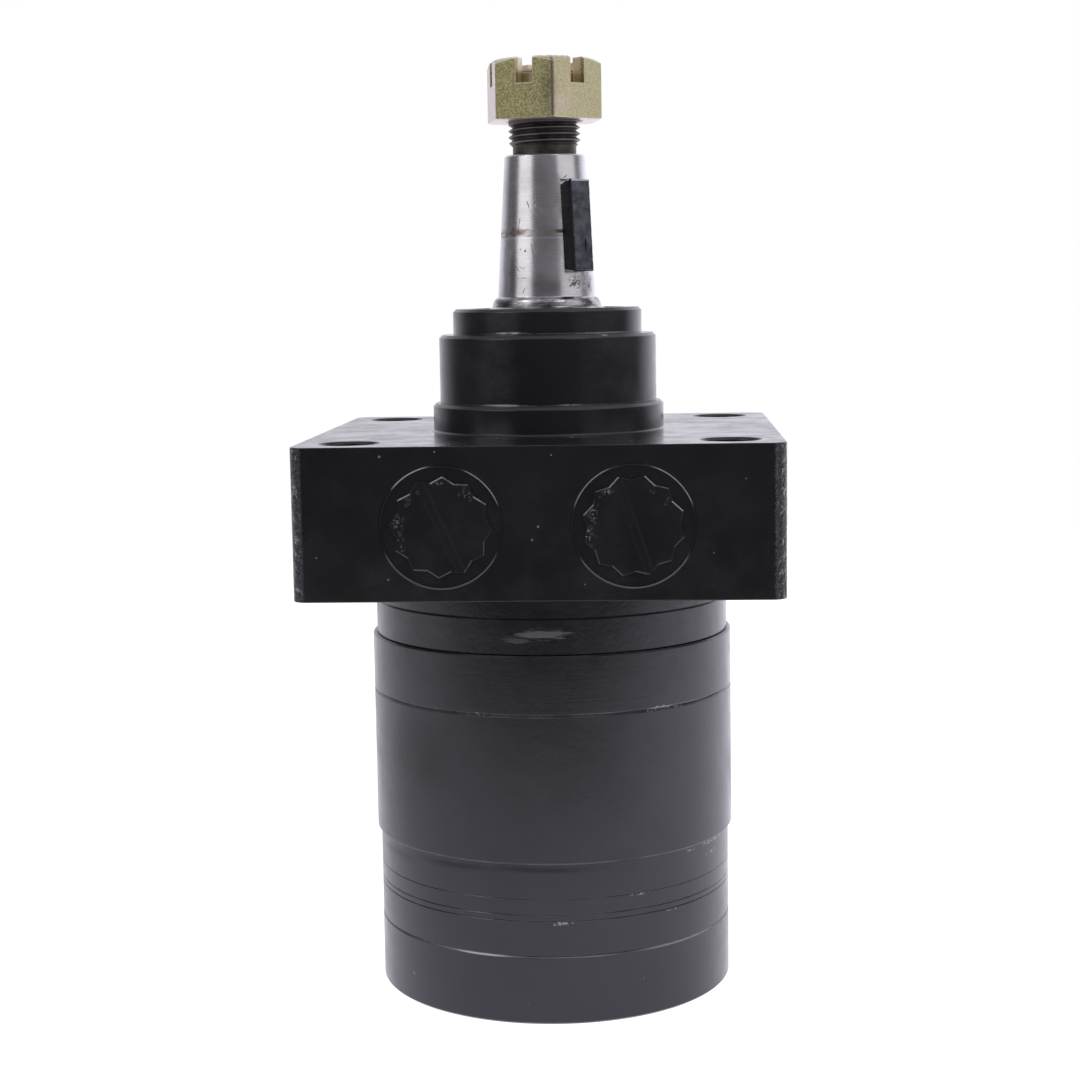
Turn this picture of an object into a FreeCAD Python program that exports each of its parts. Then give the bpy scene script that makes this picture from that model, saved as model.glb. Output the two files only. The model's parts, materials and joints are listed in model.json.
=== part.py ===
"""Low-speed high-torque orbit motor with a square mounting block and a tapered, keyed output shaft.

Frame: millimetres. The shaft axis is Z, the end cover rests on z = 0, and the port face looks along -Y.
Every function below makes one piece of the motor, and the last section writes one STEP file for each.
"""

import FreeCAD, Part
import math
import os
from FreeCAD import Vector

# ---- driving dimensions: heights of the joints between the stacked pieces, bottom to top ----
END_COVER_TOP = 21.9
COMMUTATOR_RING_TOP = 33.05
VALVE_PLATE_TOP = 35.1
CHANNEL_PLATE_TOP = 40.1
MANIFOLD_TOP = 51.2
STATOR_TOP = 98.2
WEAR_PLATE_TOP = 116.8
NECK_STEP = 127.7
BLOCK_BOTTOM = 136.0
BLOCK_TOP = 182.4
HUB_BASE_TOP = 191.5
HUB_TOP = 213.6
NOSE_TOP = 221.9

# ---- driving dimensions: outside of the stack and of the housing ----
COVER_R = 58.2
PLATE_R = 58.1
STATOR_R = 59.25
WEAR_PLATE_R = 59.2
NECK_R = 57.9
NECK_UPPER_R = 57.6
BLOCK_SIDE = 147.5
BLOCK_CORNER_R = 4.5
HUB_BASE_R = 37.75
HUB_R = 35.45
NOSE_R = 30.8
EDGE = 0.17                      # chamfer on the plates' outer edges
HUB_EDGE = 1.0                   # chamfer on the hub's steps
FLANGE_HOLE_SPACING = 115.4
FLANGE_HOLE_R = 8.75
FLANGE_HOLE_CHAMFER = 0.8

# ---- driving dimensions: ports, 7/8-14 straight thread with an O-ring seat ----
PORT_X = 28.6
PORT_Z = 158.3
PORT_R = 10.25
PORT_SEAT_R = 12.9
PORT_SEAT_DEPTH = 2.2
SPOTFACE_R = 18.25
SPOTFACE_DEPTH = 1.0
PORT_DEPTH = 36.0
PLUG_HEAD_R = 15.3
PLUG_HEAD_ROOT_R = 13.7
PLUG_POINTS = 12
PLUG_LENGTH = 15.0
PLUG_SLOT_WIDTH = 1.9
PLUG_SLOT_DEPTH = 0.4
PLUG_TILTS = {"left": 24.3, "right": 18.4}   # lean of each screwdriver slot from the vertical, degrees
PLUG_TURNS = {"left": 3.0, "right": 13.0}    # turn of each star, clockwise from the vertical, degrees
PASSAGE = (24.0, -44.5)          # centre of the oil passage drilled down from a port; the other is mirrored
PASSAGE_R = 3.5

# ---- driving dimensions: shaft, 1-1/4 inch taper of 1 in 8, 2 mm pitch thread, 5/16 key ----
JOURNAL_R = 19.05
TAPER_LARGE_R = 15.875
TAPER_LENGTH = 45.4
TAPER_BOTTOM = 225.44
SHOULDER_R = 17.65
SHOULDER_HEIGHT = 3.0
SHOULDER_FILLET = 0.3
RELIEF_R = 10.3
RELIEF_LENGTH = 2.85
THREAD_R = 11.6
THREAD_PITCH = 2.0
THREAD_DEPTH = 1.15
SHAFT_END = 297.5
COUPLING_R = 29.0
COUPLING_BOTTOM = 118.3
COUPLING_TOP = 158.0
KEY_WIDTH = 7.94
KEY_BOTTOM = 233.4
KEY_TOP = 262.7
KEY_STANDS_OUT = 4.7
KEY_SUNK = 3.4
KEY_DIRECTION = -49.0            # degrees from +X
NUT_CORNER_R = 19.75
NUT_BOTTOM = 281.7
NUT_TOP = 301.0
NUT_SLOT_FLOOR = 292.7
NUT_SLOT_WIDTH = 5.6
NUT_CORNER_DIRECTION = -78.1     # degrees from +X
NUT_BORE_R = 11.75
COTTER_HOLE_R = 2.0

# ---- driving dimensions: gear set of rotor, rollers and stator ----
ROLLER_COUNT = 7
LOBE_COUNT = ROLLER_COUNT - 1
ECCENTRICITY = 3.0
ROLLER_CIRCLE_R = 34.5
ROLLER_R = 6.2
ROTOR_CLEARANCE = 0.08
POCKET_CLEARANCE = 0.05
END_PLAY = 0.03                  # axial gap at each end of the rotor and the rollers
STATOR_BORE_R = 34.9
GEAR_PHASE = 90.0                # direction of the first roller and of the rotor's offset, degrees from +X
NOSE_SPIGOT_R = 11.0             # spigot on the rotor that carries the commutator

# ---- driving dimensions: drive link and its splines ----
SPLINE_TEETH = 12
LINK_MAJOR_R = 14.6
LINK_MINOR_R = 12.2
LINK_SHANK_R = 10.0
LINK_TOOTH_ROOT = 3.6
LINK_TOOTH_TIP = 2.2
SPLINE_CLEARANCE = 0.5
LINK_HEAD = 15.0
LINK_UPPER_Z = 146.0
LINK_LOWER_Z = 74.0
ROTOR_SPLINE_FLOOR = 60.0
SHAFT_SPLINE_FLOOR = 136.0
SHAFT_SPLINE_TOP = 156.5

# ---- driving dimensions: bearings and seals on the shaft ----
RUNNING_FIT = 0.05
BUSH_WALL = 4.0
REAR_BUSH = (119.5, 150.0)
FRONT_BUSH = (190.0, 212.5)
THRUST_STACK = (158.0, 160.5, 164.0, 166.5)   # heights of washer, needles, washer
THRUST_INNER_R = 19.6
THRUST_OUTER_R = 29.5
NEEDLE_COUNT = 24
NEEDLE_R = 1.7
SEAL_R = 26.0
SHAFT_SEAL = (168.0, 176.0)
BACKUP_WASHER_TOP = 178.0
DUST_SEAL_R = 25.0
DUST_SEAL = (214.5, 221.4)

# ---- driving dimensions: clamping bolts and the seals between the plates ----
BOLT_COUNT = 7
BOLT_CIRCLE_R = 49.2
BOLT_R = 4.76
BOLT_HOLE_R = 5.0
BOLT_HEAD_R = 7.15
BOLT_HEAD_HEIGHT = 9.5
BOLT_SEAT = 11.0
BOLT_TOP = 137.0
BOLT_SOCKET_R = 4.58             # across the corners
COUNTERBORE_R = 7.6
SEAL_GROOVE = (41.7, 43.7)
SEAL_GROOVE_DEPTH = 1.3

# ---- driving dimensions: commutator ----
COMMUTATOR_R = 36.0
COMMUTATOR_PLAY = 0.1
COMMUTATOR_SEAL = (29.0, 32.0)
COMMUTATOR_SEAL_DEPTH = 2.4

UP = Vector(0, 0, 1)
ORIGIN = Vector(0, 0, 0)


# ---- small helpers ----
def cylinder(radius, low, high, x=0.0, y=0.0):
    return Part.makeCylinder(radius, high - low, Vector(x, y, low), UP)


def ring(inner, outer, low, high):
    return cylinder(outer, low, high).cut(cylinder(inner, low - 1, high + 1))


def turned(profile):
    """Solid of revolution about Z from a closed outline of (radius, height) points."""
    points = [Vector(r, 0, z) for r, z in profile]
    face = Part.Face(Part.makePolygon(points + points[:1]))
    return face.revolve(ORIGIN, UP, 360)


def disc(radius, low, high, edge=EDGE):
    """Round plate with both outer edges chamfered."""
    outline = [(0, low), (radius - edge, low), (radius, low + edge)]
    outline += [(radius, high - edge), (radius - edge, high), (0, high)]
    return turned(outline)


def around(count, radius, first):
    """(x, y) of evenly spaced points on a circle; first is in degrees from +X."""
    steps = [math.radians(first + 360 * k / count) for k in range(count)]
    return [(radius * math.cos(a), radius * math.sin(a)) for a in steps]


def bolt_places():
    return around(BOLT_COUNT, BOLT_CIRCLE_R, GEAR_PHASE + 180)


def passage_places():
    x, y = PASSAGE
    return [(-x, y), (x, y)]


def drill(shape, places, radius, low, high):
    return shape.cut([cylinder(radius, low, high, x, y) for x, y in places])


def prism(points, low, high):
    """Straight prism along Z over a closed polygon of (x, y) points."""
    corners = [Vector(x, y, low) for x, y in points]
    face = Part.Face(Part.makePolygon(corners + corners[:1]))
    return face.extrude(Vector(0, 0, high - low))


def box_about(width, depth, low, high, centre_x=0.0, centre_y=0.0):
    corner = Vector(centre_x - width / 2, centre_y - depth / 2, low)
    return Part.makeBox(width, depth, high - low, corner)


def clamped_plate(radius, low, high, bore, edge=EDGE):
    """One plate of the stack, with its bore, bolt holes and the two oil passages."""
    plate = disc(radius, low, high, edge).cut(cylinder(bore, low - 1, high + 1))
    plate = drill(plate, bolt_places(), BOLT_HOLE_R, low - 1, high + 1)
    return drill(plate, passage_places(), PASSAGE_R, low - 1, high + 1)


def seal_groove(low):
    return ring(SEAL_GROOVE[0], SEAL_GROOVE[1], low, low + SEAL_GROOVE_DEPTH)


def squeezed_seal(low):
    """O-ring pressed flat between the floor of its groove and the next plate."""
    middle = (SEAL_GROOVE[0] + SEAL_GROOVE[1]) / 2
    height = low + SEAL_GROOVE_DEPTH / 2
    round_ring = Part.makeTorus(middle, 0.9, Vector(0, 0, height), UP)
    return round_ring.common(ring(middle - 2, middle + 2, low, low + SEAL_GROOVE_DEPTH))


# ---- housing ----
def housing_outside():
    """Square block, neck below it and stepped hub above it."""
    half = BLOCK_SIDE / 2
    block = box_about(BLOCK_SIDE, BLOCK_SIDE, BLOCK_BOTTOM, BLOCK_TOP)
    upright = [e for e in block.Edges if abs(e.Vertexes[0].Z - e.Vertexes[1].Z) > 1]
    block = block.makeFillet(BLOCK_CORNER_R, upright)
    rims = [e for e in block.Edges if abs(e.BoundBox.ZMax - e.BoundBox.ZMin) < 1e-6]
    block = block.makeChamfer(EDGE, rims)
    root = 1.2
    neck = [(0, WEAR_PLATE_TOP), (NECK_R - EDGE, WEAR_PLATE_TOP), (NECK_R, WEAR_PLATE_TOP + EDGE)]
    neck += [(NECK_R, NECK_STEP), (NECK_UPPER_R, NECK_STEP + 0.5), (NECK_UPPER_R, BLOCK_BOTTOM - root)]
    neck += [(NECK_UPPER_R + root, BLOCK_BOTTOM), (half - 10, BLOCK_BOTTOM + 5)]
    hub = [(half - 10, BLOCK_TOP - 5), (HUB_BASE_R + 0.5, BLOCK_TOP), (HUB_BASE_R, BLOCK_TOP + 0.5)]
    hub += [(HUB_BASE_R, HUB_BASE_TOP - HUB_EDGE), (HUB_BASE_R - HUB_EDGE, HUB_BASE_TOP)]
    hub += [(HUB_R, HUB_BASE_TOP), (HUB_R, HUB_TOP - HUB_EDGE), (HUB_R - HUB_EDGE, HUB_TOP)]
    hub += [(NOSE_R, HUB_TOP), (NOSE_R, NOSE_TOP - HUB_EDGE), (NOSE_R - HUB_EDGE, NOSE_TOP)]
    hub += [(0, NOSE_TOP)]
    return block.fuse(turned(neck + hub)).removeSplitter()


def housing_bore():
    """Stepped bore for the coupling, thrust bearing, seal, journal, front bush and dust seal."""
    coupling = COUPLING_R + RUNNING_FIT
    outline = [(0, WEAR_PLATE_TOP - 1), (coupling + BUSH_WALL, WEAR_PLATE_TOP - 1)]
    outline += [(coupling + BUSH_WALL, REAR_BUSH[1]), (THRUST_OUTER_R, REAR_BUSH[1])]
    outline += [(THRUST_OUTER_R, THRUST_STACK[3]), (SEAL_R, THRUST_STACK[3])]
    outline += [(SEAL_R, BACKUP_WASHER_TOP), (JOURNAL_R + 0.4, BACKUP_WASHER_TOP)]
    outline += [(JOURNAL_R + 0.4, FRONT_BUSH[0])]
    outline += [(JOURNAL_R + RUNNING_FIT + BUSH_WALL, FRONT_BUSH[0])]
    outline += [(JOURNAL_R + RUNNING_FIT + BUSH_WALL, FRONT_BUSH[1])]
    outline += [(DUST_SEAL_R, FRONT_BUSH[1] + 2), (DUST_SEAL_R, NOSE_TOP + 1), (0, NOSE_TOP + 1)]
    return turned(outline)


def port_cutter(x):
    """Spotface, O-ring seat and threaded hole of one port, drilled in from the front face."""
    front = -BLOCK_SIDE / 2
    inward = Vector(0, 1, 0)
    spotface = Part.makeCylinder(SPOTFACE_R, SPOTFACE_DEPTH + 1, Vector(x, front - 1, PORT_Z), inward)
    seat_depth = SPOTFACE_DEPTH + PORT_SEAT_DEPTH
    seat = Part.makeCylinder(PORT_SEAT_R, seat_depth, Vector(x, front, PORT_Z), inward)
    hole = Part.makeCylinder(PORT_R, PORT_DEPTH, Vector(x, front, PORT_Z), inward)
    return spotface.fuse([seat, hole])


def flange_hole(x, y):
    top = FLANGE_HOLE_R + FLANGE_HOLE_CHAMFER
    low = BLOCK_BOTTOM - 1
    mouth = BLOCK_TOP - FLANGE_HOLE_CHAMFER
    countersink = Part.makeCone(FLANGE_HOLE_R, top + 1, FLANGE_HOLE_CHAMFER + 1, Vector(x, y, mouth), UP)
    return cylinder(FLANGE_HOLE_R, low, BLOCK_TOP + 1, x, y).fuse(countersink)


def housing():
    side = FLANGE_HOLE_SPACING / 2
    corners = [(-side, -side), (side, -side), (side, side), (-side, side)]
    body = housing_outside().cut(housing_bore())
    body = body.cut([flange_hole(x, y) for x, y in corners])
    body = body.cut([port_cutter(-PORT_X), port_cutter(PORT_X)])
    body = drill(body, bolt_places(), BOLT_HOLE_R - 0.2, WEAR_PLATE_TOP - 1, BOLT_TOP + 3)
    body = drill(body, passage_places(), PASSAGE_R, WEAR_PLATE_TOP - 1, PORT_Z)
    return body.cut(seal_groove(WEAR_PLATE_TOP))


# ---- bushes, thrust bearing and shaft seals ----
def rear_bush():
    inner = COUPLING_R + RUNNING_FIT
    return ring(inner, inner + BUSH_WALL, REAR_BUSH[0], REAR_BUSH[1])


def front_bush():
    inner = JOURNAL_R + RUNNING_FIT
    return ring(inner, inner + BUSH_WALL, FRONT_BUSH[0], FRONT_BUSH[1])


def thrust_washer_rear():
    return ring(THRUST_INNER_R, THRUST_OUTER_R - 0.4, THRUST_STACK[0], THRUST_STACK[1])


def thrust_washer_front():
    return ring(THRUST_INNER_R, THRUST_OUTER_R, THRUST_STACK[2], THRUST_STACK[3])


def needle(angle, radius, start, end):
    """Cylinder lying along a radius of the thrust bearing."""
    middle = (THRUST_STACK[1] + THRUST_STACK[2]) / 2
    direction = Vector(math.cos(angle), math.sin(angle), 0)
    return Part.makeCylinder(radius, end - start, direction * start + Vector(0, 0, middle), direction)


def needle_angles():
    return [2 * math.pi * k / NEEDLE_COUNT for k in range(NEEDLE_COUNT)]


def thrust_needles():
    return Part.Compound([needle(a, NEEDLE_R, 21.2, 27.6) for a in needle_angles()])


def thrust_cage():
    middle = (THRUST_STACK[1] + THRUST_STACK[2]) / 2
    cage = ring(THRUST_INNER_R + 0.4, THRUST_OUTER_R - 0.6, middle - 1.1, middle + 1.1)
    return cage.cut([needle(a, NEEDLE_R + 0.05, 21.0, 27.8) for a in needle_angles()])


def shaft_seal():
    """Pressure seal: a stiff outer band and a lip that points down, at the oil."""
    low, high = SHAFT_SEAL
    lip = JOURNAL_R + RUNNING_FIT
    outline = [(SEAL_R, low), (SEAL_R, high), (lip + 0.8, high), (lip, high - 2.2), (lip, high - 4.2)]
    outline += [(lip + 1.2, low + 1.0), (lip + 2.2, low + 1.0), (lip + 2.2, high - 3), (SEAL_R - 1.6, high - 3)]
    outline += [(SEAL_R - 1.6, low)]
    return turned(outline)


def seal_backup_washer():
    return ring(JOURNAL_R + 0.2, SEAL_R, SHAFT_SEAL[1], BACKUP_WASHER_TOP)


def dust_seal():
    """Wiper in the mouth of the hub: its lip leans up and in, at the shaft."""
    low, high = DUST_SEAL
    lip = JOURNAL_R + RUNNING_FIT
    outline = [(DUST_SEAL_R, low), (DUST_SEAL_R, high - 1.2), (DUST_SEAL_R - 1.0, high - 1.2)]
    outline += [(lip + 2.4, high - 2.6), (lip + 0.9, high), (lip, high), (lip, high - 1.4)]
    outline += [(lip + 1.0, low + 1.6), (lip + 1.0, low)]
    return turned(outline)


# ---- output shaft, key and nut ----
def taper_radius(height):
    return TAPER_LARGE_R - (height - TAPER_BOTTOM) / 16


def spline_prism(low, high, clearance=0.0):
    """Toothed prism of the drive link; with a clearance it is the hole that the teeth run in."""
    points = []
    root = math.atan2(LINK_TOOTH_ROOT / 2 + clearance, LINK_MINOR_R)
    tip = math.atan2(LINK_TOOTH_TIP / 2 + clearance, LINK_MAJOR_R)
    inner = LINK_MINOR_R + clearance
    outer = LINK_MAJOR_R + clearance
    for k in range(SPLINE_TEETH):
        middle = math.radians(GEAR_PHASE) + 2 * math.pi * k / SPLINE_TEETH
        for radius, turn in ((inner, -root), (outer, -tip), (outer, tip), (inner, root)):
            points.append((radius * math.cos(middle + turn), radius * math.sin(middle + turn)))
    return prism(points, low, high)


def shaft_outside():
    """Turned outline: coupling, journal, rounded shoulder, taper, relief and thread blank."""
    taper_top = TAPER_BOTTOM + TAPER_LENGTH
    relief_top = taper_top + RELIEF_LENGTH
    shoulder_low = TAPER_BOTTOM - SHOULDER_HEIGHT
    lower = [(0, COUPLING_BOTTOM), (COUPLING_R - 1, COUPLING_BOTTOM), (COUPLING_R, COUPLING_BOTTOM + 1)]
    lower += [(COUPLING_R, COUPLING_TOP), (JOURNAL_R, COUPLING_TOP), (JOURNAL_R, shoulder_low - 0.8)]
    lower += [(SHOULDER_R, shoulder_low), (SHOULDER_R, shoulder_low + 0.4)]
    upper = [(TAPER_LARGE_R + SHOULDER_FILLET, TAPER_BOTTOM - 0.1)]
    upper += [(TAPER_LARGE_R + 0.05, TAPER_BOTTOM + 0.05), (taper_radius(TAPER_BOTTOM + 0.3), TAPER_BOTTOM + 0.3)]
    upper += [(taper_radius(taper_top) + 0.03, taper_top - 0.5)]
    upper += [(taper_radius(taper_top) - 0.5, taper_top), (RELIEF_R, taper_top), (RELIEF_R, relief_top)]
    upper += [(THREAD_R, relief_top + THREAD_R - RELIEF_R), (THREAD_R, SHAFT_END - 1.2)]
    upper += [(THREAD_R - 1.2, SHAFT_END), (0, SHAFT_END)]
    points = [Vector(r, 0, z) for r, z in lower]
    shoulder = points[-1]
    after = [Vector(r, 0, z) for r, z in upper]
    middle = Vector(SHOULDER_R - 0.45, 0, TAPER_BOTTOM - 1.1)
    edges = [Part.makeLine(a, b) for a, b in zip(points, points[1:])]
    edges.append(Part.Arc(shoulder, middle, after[0]).toShape())
    edges += [Part.makeLine(a, b) for a, b in zip(after, after[1:])]
    edges.append(Part.makeLine(after[-1], points[0]))
    return Part.Face(Part.Wire(edges)).revolve(ORIGIN, UP, 360)


def thread_groove():
    """V groove wound round the thread blank, from the relief to past the shaft's end."""
    start = TAPER_BOTTOM + TAPER_LENGTH + RELIEF_LENGTH - 1.0
    height = SHAFT_END - start + THREAD_PITCH
    outside = THREAD_R + 0.15
    floor = THREAD_R - THREAD_DEPTH
    helix = Part.makeLongHelix(THREAD_PITCH, height, outside)
    half = THREAD_PITCH * 0.46
    corners = [Vector(outside, 0, -half), Vector(floor, 0, -0.12), Vector(floor, 0, 0.12), Vector(outside, 0, half)]
    profile = Part.makePolygon(corners + corners[:1])
    groove = Part.Wire(helix.Edges).makePipeShell([profile], True, True)
    groove.translate(Vector(0, 0, start))
    return groove


def key_blank(width, inner, low, high, outer):
    """Bar along the taper, laid in the key's direction, its outer face parallel to the taper."""
    lean = (high - low) / 16
    face = Part.Face(Part.makePolygon([
        Vector(inner, -width / 2, low), Vector(outer, -width / 2, low), Vector(outer - lean, -width / 2, high),
        Vector(inner - lean, -width / 2, high), Vector(inner, -width / 2, low)]))
    bar = face.extrude(Vector(0, width, 0))
    bar.rotate(ORIGIN, UP, KEY_DIRECTION)
    return bar


def key_seat():
    bottom = taper_radius(KEY_BOTTOM)
    return key_blank(KEY_WIDTH, bottom - KEY_SUNK, KEY_BOTTOM, KEY_TOP, bottom + 2)


def shaft_key():
    bottom = taper_radius(KEY_BOTTOM)
    bar = key_blank(KEY_WIDTH, bottom - KEY_SUNK, KEY_BOTTOM, KEY_TOP, bottom + KEY_STANDS_OUT)
    direction = Vector(math.cos(math.radians(KEY_DIRECTION)), math.sin(math.radians(KEY_DIRECTION)), 0)
    outside = [e for e in bar.Edges if e.CenterOfMass.dot(direction) > bottom + KEY_STANDS_OUT / 2 - 1.2]
    return bar.makeChamfer(0.5, outside)


def output_shaft():
    blank = shaft_outside()
    socket = spline_prism(SHAFT_SPLINE_FLOOR - 1, SHAFT_SPLINE_TOP, SPLINE_CLEARANCE)
    mouth = cylinder(LINK_MAJOR_R + 2.2, COUPLING_BOTTOM - 1, SHAFT_SPLINE_FLOOR)
    blank = blank.cut([socket, mouth, key_seat(), thread_groove()])
    cross = Vector(math.cos(cotter_angle()), math.sin(cotter_angle()), 0)
    hole_z = (NUT_SLOT_FLOOR + SHAFT_END) / 2 - 0.2
    hole = Part.makeCylinder(COTTER_HOLE_R, 4 * THREAD_R, cross * (-2 * THREAD_R) + Vector(0, 0, hole_z), cross)
    return blank.cut(hole)


def cotter_angle():
    return math.radians(NUT_CORNER_DIRECTION + 30)


def castle_nut():
    """Hexagon nut with its crown chamfered at 30 degrees and a slot across the middle of each face."""
    hexagon = prism(around(6, NUT_CORNER_R, NUT_CORNER_DIRECTION), NUT_BOTTOM, NUT_TOP)
    flat_r = NUT_CORNER_R * math.cos(math.radians(30))
    slope = math.tan(math.radians(30))
    crown = flat_r * 0.95
    outline = [(0, NUT_BOTTOM), (NUT_CORNER_R - 0.5, NUT_BOTTOM), (NUT_CORNER_R, NUT_BOTTOM + 0.3)]
    outline += [(NUT_CORNER_R, NUT_BOTTOM + 2), (30, NUT_BOTTOM + 2), (30, NUT_TOP - (30 - crown) * slope), (crown, NUT_TOP), (0, NUT_TOP)]
    nut = hexagon.common(turned(outline))
    slots = []
    for k in range(3):
        slot = box_about(60, NUT_SLOT_WIDTH, NUT_SLOT_FLOOR, NUT_TOP + 1)
        slot.rotate(ORIGIN, UP, NUT_CORNER_DIRECTION + 30 + 60 * k)
        slots.append(slot)
    bore = cylinder(NUT_BORE_R, NUT_BOTTOM - 1, NUT_TOP + 1)
    mouth = Part.makeCone(NUT_BORE_R + 1.0, NUT_BORE_R, 1.0, Vector(0, 0, NUT_BOTTOM), UP)
    return nut.cut(slots + [bore, mouth])


# ---- gear set ----
def rotor_outline():
    """Closed curve parallel to the path that a roller's centre follows as seen from the rotor."""
    steps = 24 * LOBE_COUNT
    offset = ROLLER_R + ROTOR_CLEARANCE
    points = []
    for k in range(steps):
        b = 2 * math.pi * k / steps
        x = ROLLER_CIRCLE_R * math.cos(b) - ECCENTRICITY * math.cos(ROLLER_COUNT * b)
        y = -ROLLER_CIRCLE_R * math.sin(b) + ECCENTRICITY * math.sin(ROLLER_COUNT * b)
        dx = -ROLLER_CIRCLE_R * math.sin(b) + ROLLER_COUNT * ECCENTRICITY * math.sin(ROLLER_COUNT * b)
        dy = -ROLLER_CIRCLE_R * math.cos(b) + ROLLER_COUNT * ECCENTRICITY * math.cos(ROLLER_COUNT * b)
        speed = math.hypot(dx, dy)
        points.append(Vector(x + offset * dy / speed, y - offset * dx / speed, 0))
    curve = Part.BSplineCurve()
    curve.interpolate(points, PeriodicFlag=True)
    return Part.Wire(curve.toShape())


def rotor():
    """Six-lobed rotor with an internal spline, and a spigot below it that carries the commutator."""
    low = MANIFOLD_TOP + END_PLAY
    high = STATOR_TOP - END_PLAY
    body = Part.Face(rotor_outline()).extrude(Vector(0, 0, high - low))
    body.translate(Vector(0, 0, low))
    body.rotate(ORIGIN, UP, GEAR_PHASE)
    spigot = cylinder(NOSE_SPIGOT_R, END_COVER_TOP + 1.5, low + 1)
    body = body.fuse(spigot).cut(spline_prism(ROTOR_SPLINE_FLOOR, high + 1, SPLINE_CLEARANCE))
    body.translate(eccentric_offset())
    return body


def eccentric_offset():
    angle = math.radians(GEAR_PHASE)
    return Vector(ECCENTRICITY * math.cos(angle), ECCENTRICITY * math.sin(angle), 0)


def roller_places():
    return around(ROLLER_COUNT, ROLLER_CIRCLE_R, GEAR_PHASE)


def roller(x, y):
    low = MANIFOLD_TOP + END_PLAY
    high = STATOR_TOP - END_PLAY
    edge = 0.5
    body = turned([(0, low), (ROLLER_R - edge, low), (ROLLER_R, low + edge),
                   (ROLLER_R, high - edge), (ROLLER_R - edge, high), (0, high)])
    body.translate(Vector(x, y, 0))
    return body


def stator_ring():
    plate = clamped_plate(STATOR_R, MANIFOLD_TOP, STATOR_TOP, STATOR_BORE_R, 0.7)
    return drill(plate, roller_places(), ROLLER_R + POCKET_CLEARANCE, MANIFOLD_TOP - 1, STATOR_TOP + 1)


def drive_link():
    """Dog bone with a crowned spline at each end, leaning from the shaft axis to the rotor's centre."""
    reach = math.hypot(LINK_UPPER_Z - LINK_LOWER_Z, ECCENTRICITY)
    lower = LINK_UPPER_Z - reach
    half = LINK_HEAD / 2
    body = cylinder(LINK_SHANK_R, lower, LINK_UPPER_Z)
    for middle in (lower, LINK_UPPER_Z):
        low = middle - half
        high = middle + half
        crown = turned([(0, low), (LINK_MAJOR_R - 1.6, low), (LINK_MAJOR_R, middle - half / 3),
                        (LINK_MAJOR_R, middle + half / 3), (LINK_MAJOR_R - 1.6, high), (0, high)])
        body = body.fuse(spline_prism(low, high).common(crown))
    lean = math.degrees(math.asin(ECCENTRICITY / reach))
    body.rotate(Vector(0, 0, LINK_UPPER_Z), Vector(1, 0, 0), lean)
    return body


# ---- plates of the stack ----
def chamber_holes(plate, radius, low, high):
    """One hole for each chamber of the gear set, stepping inward from plate to plate."""
    return drill(plate, around(ROLLER_COUNT, radius, GEAR_PHASE + 180), 3.0, low - 1, high + 1)


def wear_plate():
    plate = clamped_plate(WEAR_PLATE_R, STATOR_TOP, WEAR_PLATE_TOP, LINK_MAJOR_R + 3, 0.5)
    return plate.cut(seal_groove(STATOR_TOP))


def manifold_plate():
    bore = NOSE_SPIGOT_R + ECCENTRICITY + 0.5
    plate = clamped_plate(PLATE_R, CHANNEL_PLATE_TOP, MANIFOLD_TOP, bore)
    plate = chamber_holes(plate, 31.5, CHANNEL_PLATE_TOP, MANIFOLD_TOP)
    return plate.cut(seal_groove(MANIFOLD_TOP - SEAL_GROOVE_DEPTH))


def manifold_channel_plate():
    bore = NOSE_SPIGOT_R + ECCENTRICITY + 0.5
    plate = clamped_plate(PLATE_R, VALVE_PLATE_TOP, CHANNEL_PLATE_TOP, bore)
    return chamber_holes(plate, 29.5, VALVE_PLATE_TOP, CHANNEL_PLATE_TOP)


def manifold_valve_plate():
    bore = NOSE_SPIGOT_R + ECCENTRICITY + 0.5
    plate = clamped_plate(PLATE_R, COMMUTATOR_RING_TOP, VALVE_PLATE_TOP, bore, 0.3)
    return chamber_holes(plate, 27.5, COMMUTATOR_RING_TOP, VALVE_PLATE_TOP)


def commutator_ring():
    bore = COMMUTATOR_R + ECCENTRICITY + COMMUTATOR_PLAY
    plate = clamped_plate(PLATE_R, END_COVER_TOP, COMMUTATOR_RING_TOP, bore)
    x, y = passage_places()[0]
    middle = (END_COVER_TOP + COMMUTATOR_RING_TOP) / 2
    feed = Part.makeCylinder(2.5, math.hypot(x, y), Vector(x, y, middle), Vector(-x, -y, 0))
    return plate.cut([feed, seal_groove(COMMUTATOR_RING_TOP - SEAL_GROOVE_DEPTH), seal_groove(END_COVER_TOP)])


def commutator():
    """Orbiting valve disc: a pressure groove above, a seal groove below and a bore on the rotor's spigot."""
    low = END_COVER_TOP + 0.1
    high = COMMUTATOR_RING_TOP - END_PLAY
    body = ring(NOSE_SPIGOT_R + RUNNING_FIT, COMMUTATOR_R, low, high)
    zone = ring(19.0, 25.5, high - 5.0, high + 1)
    groove = ring(COMMUTATOR_SEAL[0], COMMUTATOR_SEAL[1], low - 1, END_COVER_TOP + COMMUTATOR_SEAL_DEPTH)
    body = body.cut([zone, groove])
    body = drill(body, around(6, 22.0, GEAR_PHASE), 2.0, low - 1, high)
    body.translate(eccentric_offset())
    return body


def commutator_seal():
    low = END_COVER_TOP + 0.02
    body = ring(COMMUTATOR_SEAL[0], COMMUTATOR_SEAL[1], low, END_COVER_TOP + COMMUTATOR_SEAL_DEPTH)
    body.translate(eccentric_offset())
    return body


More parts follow.
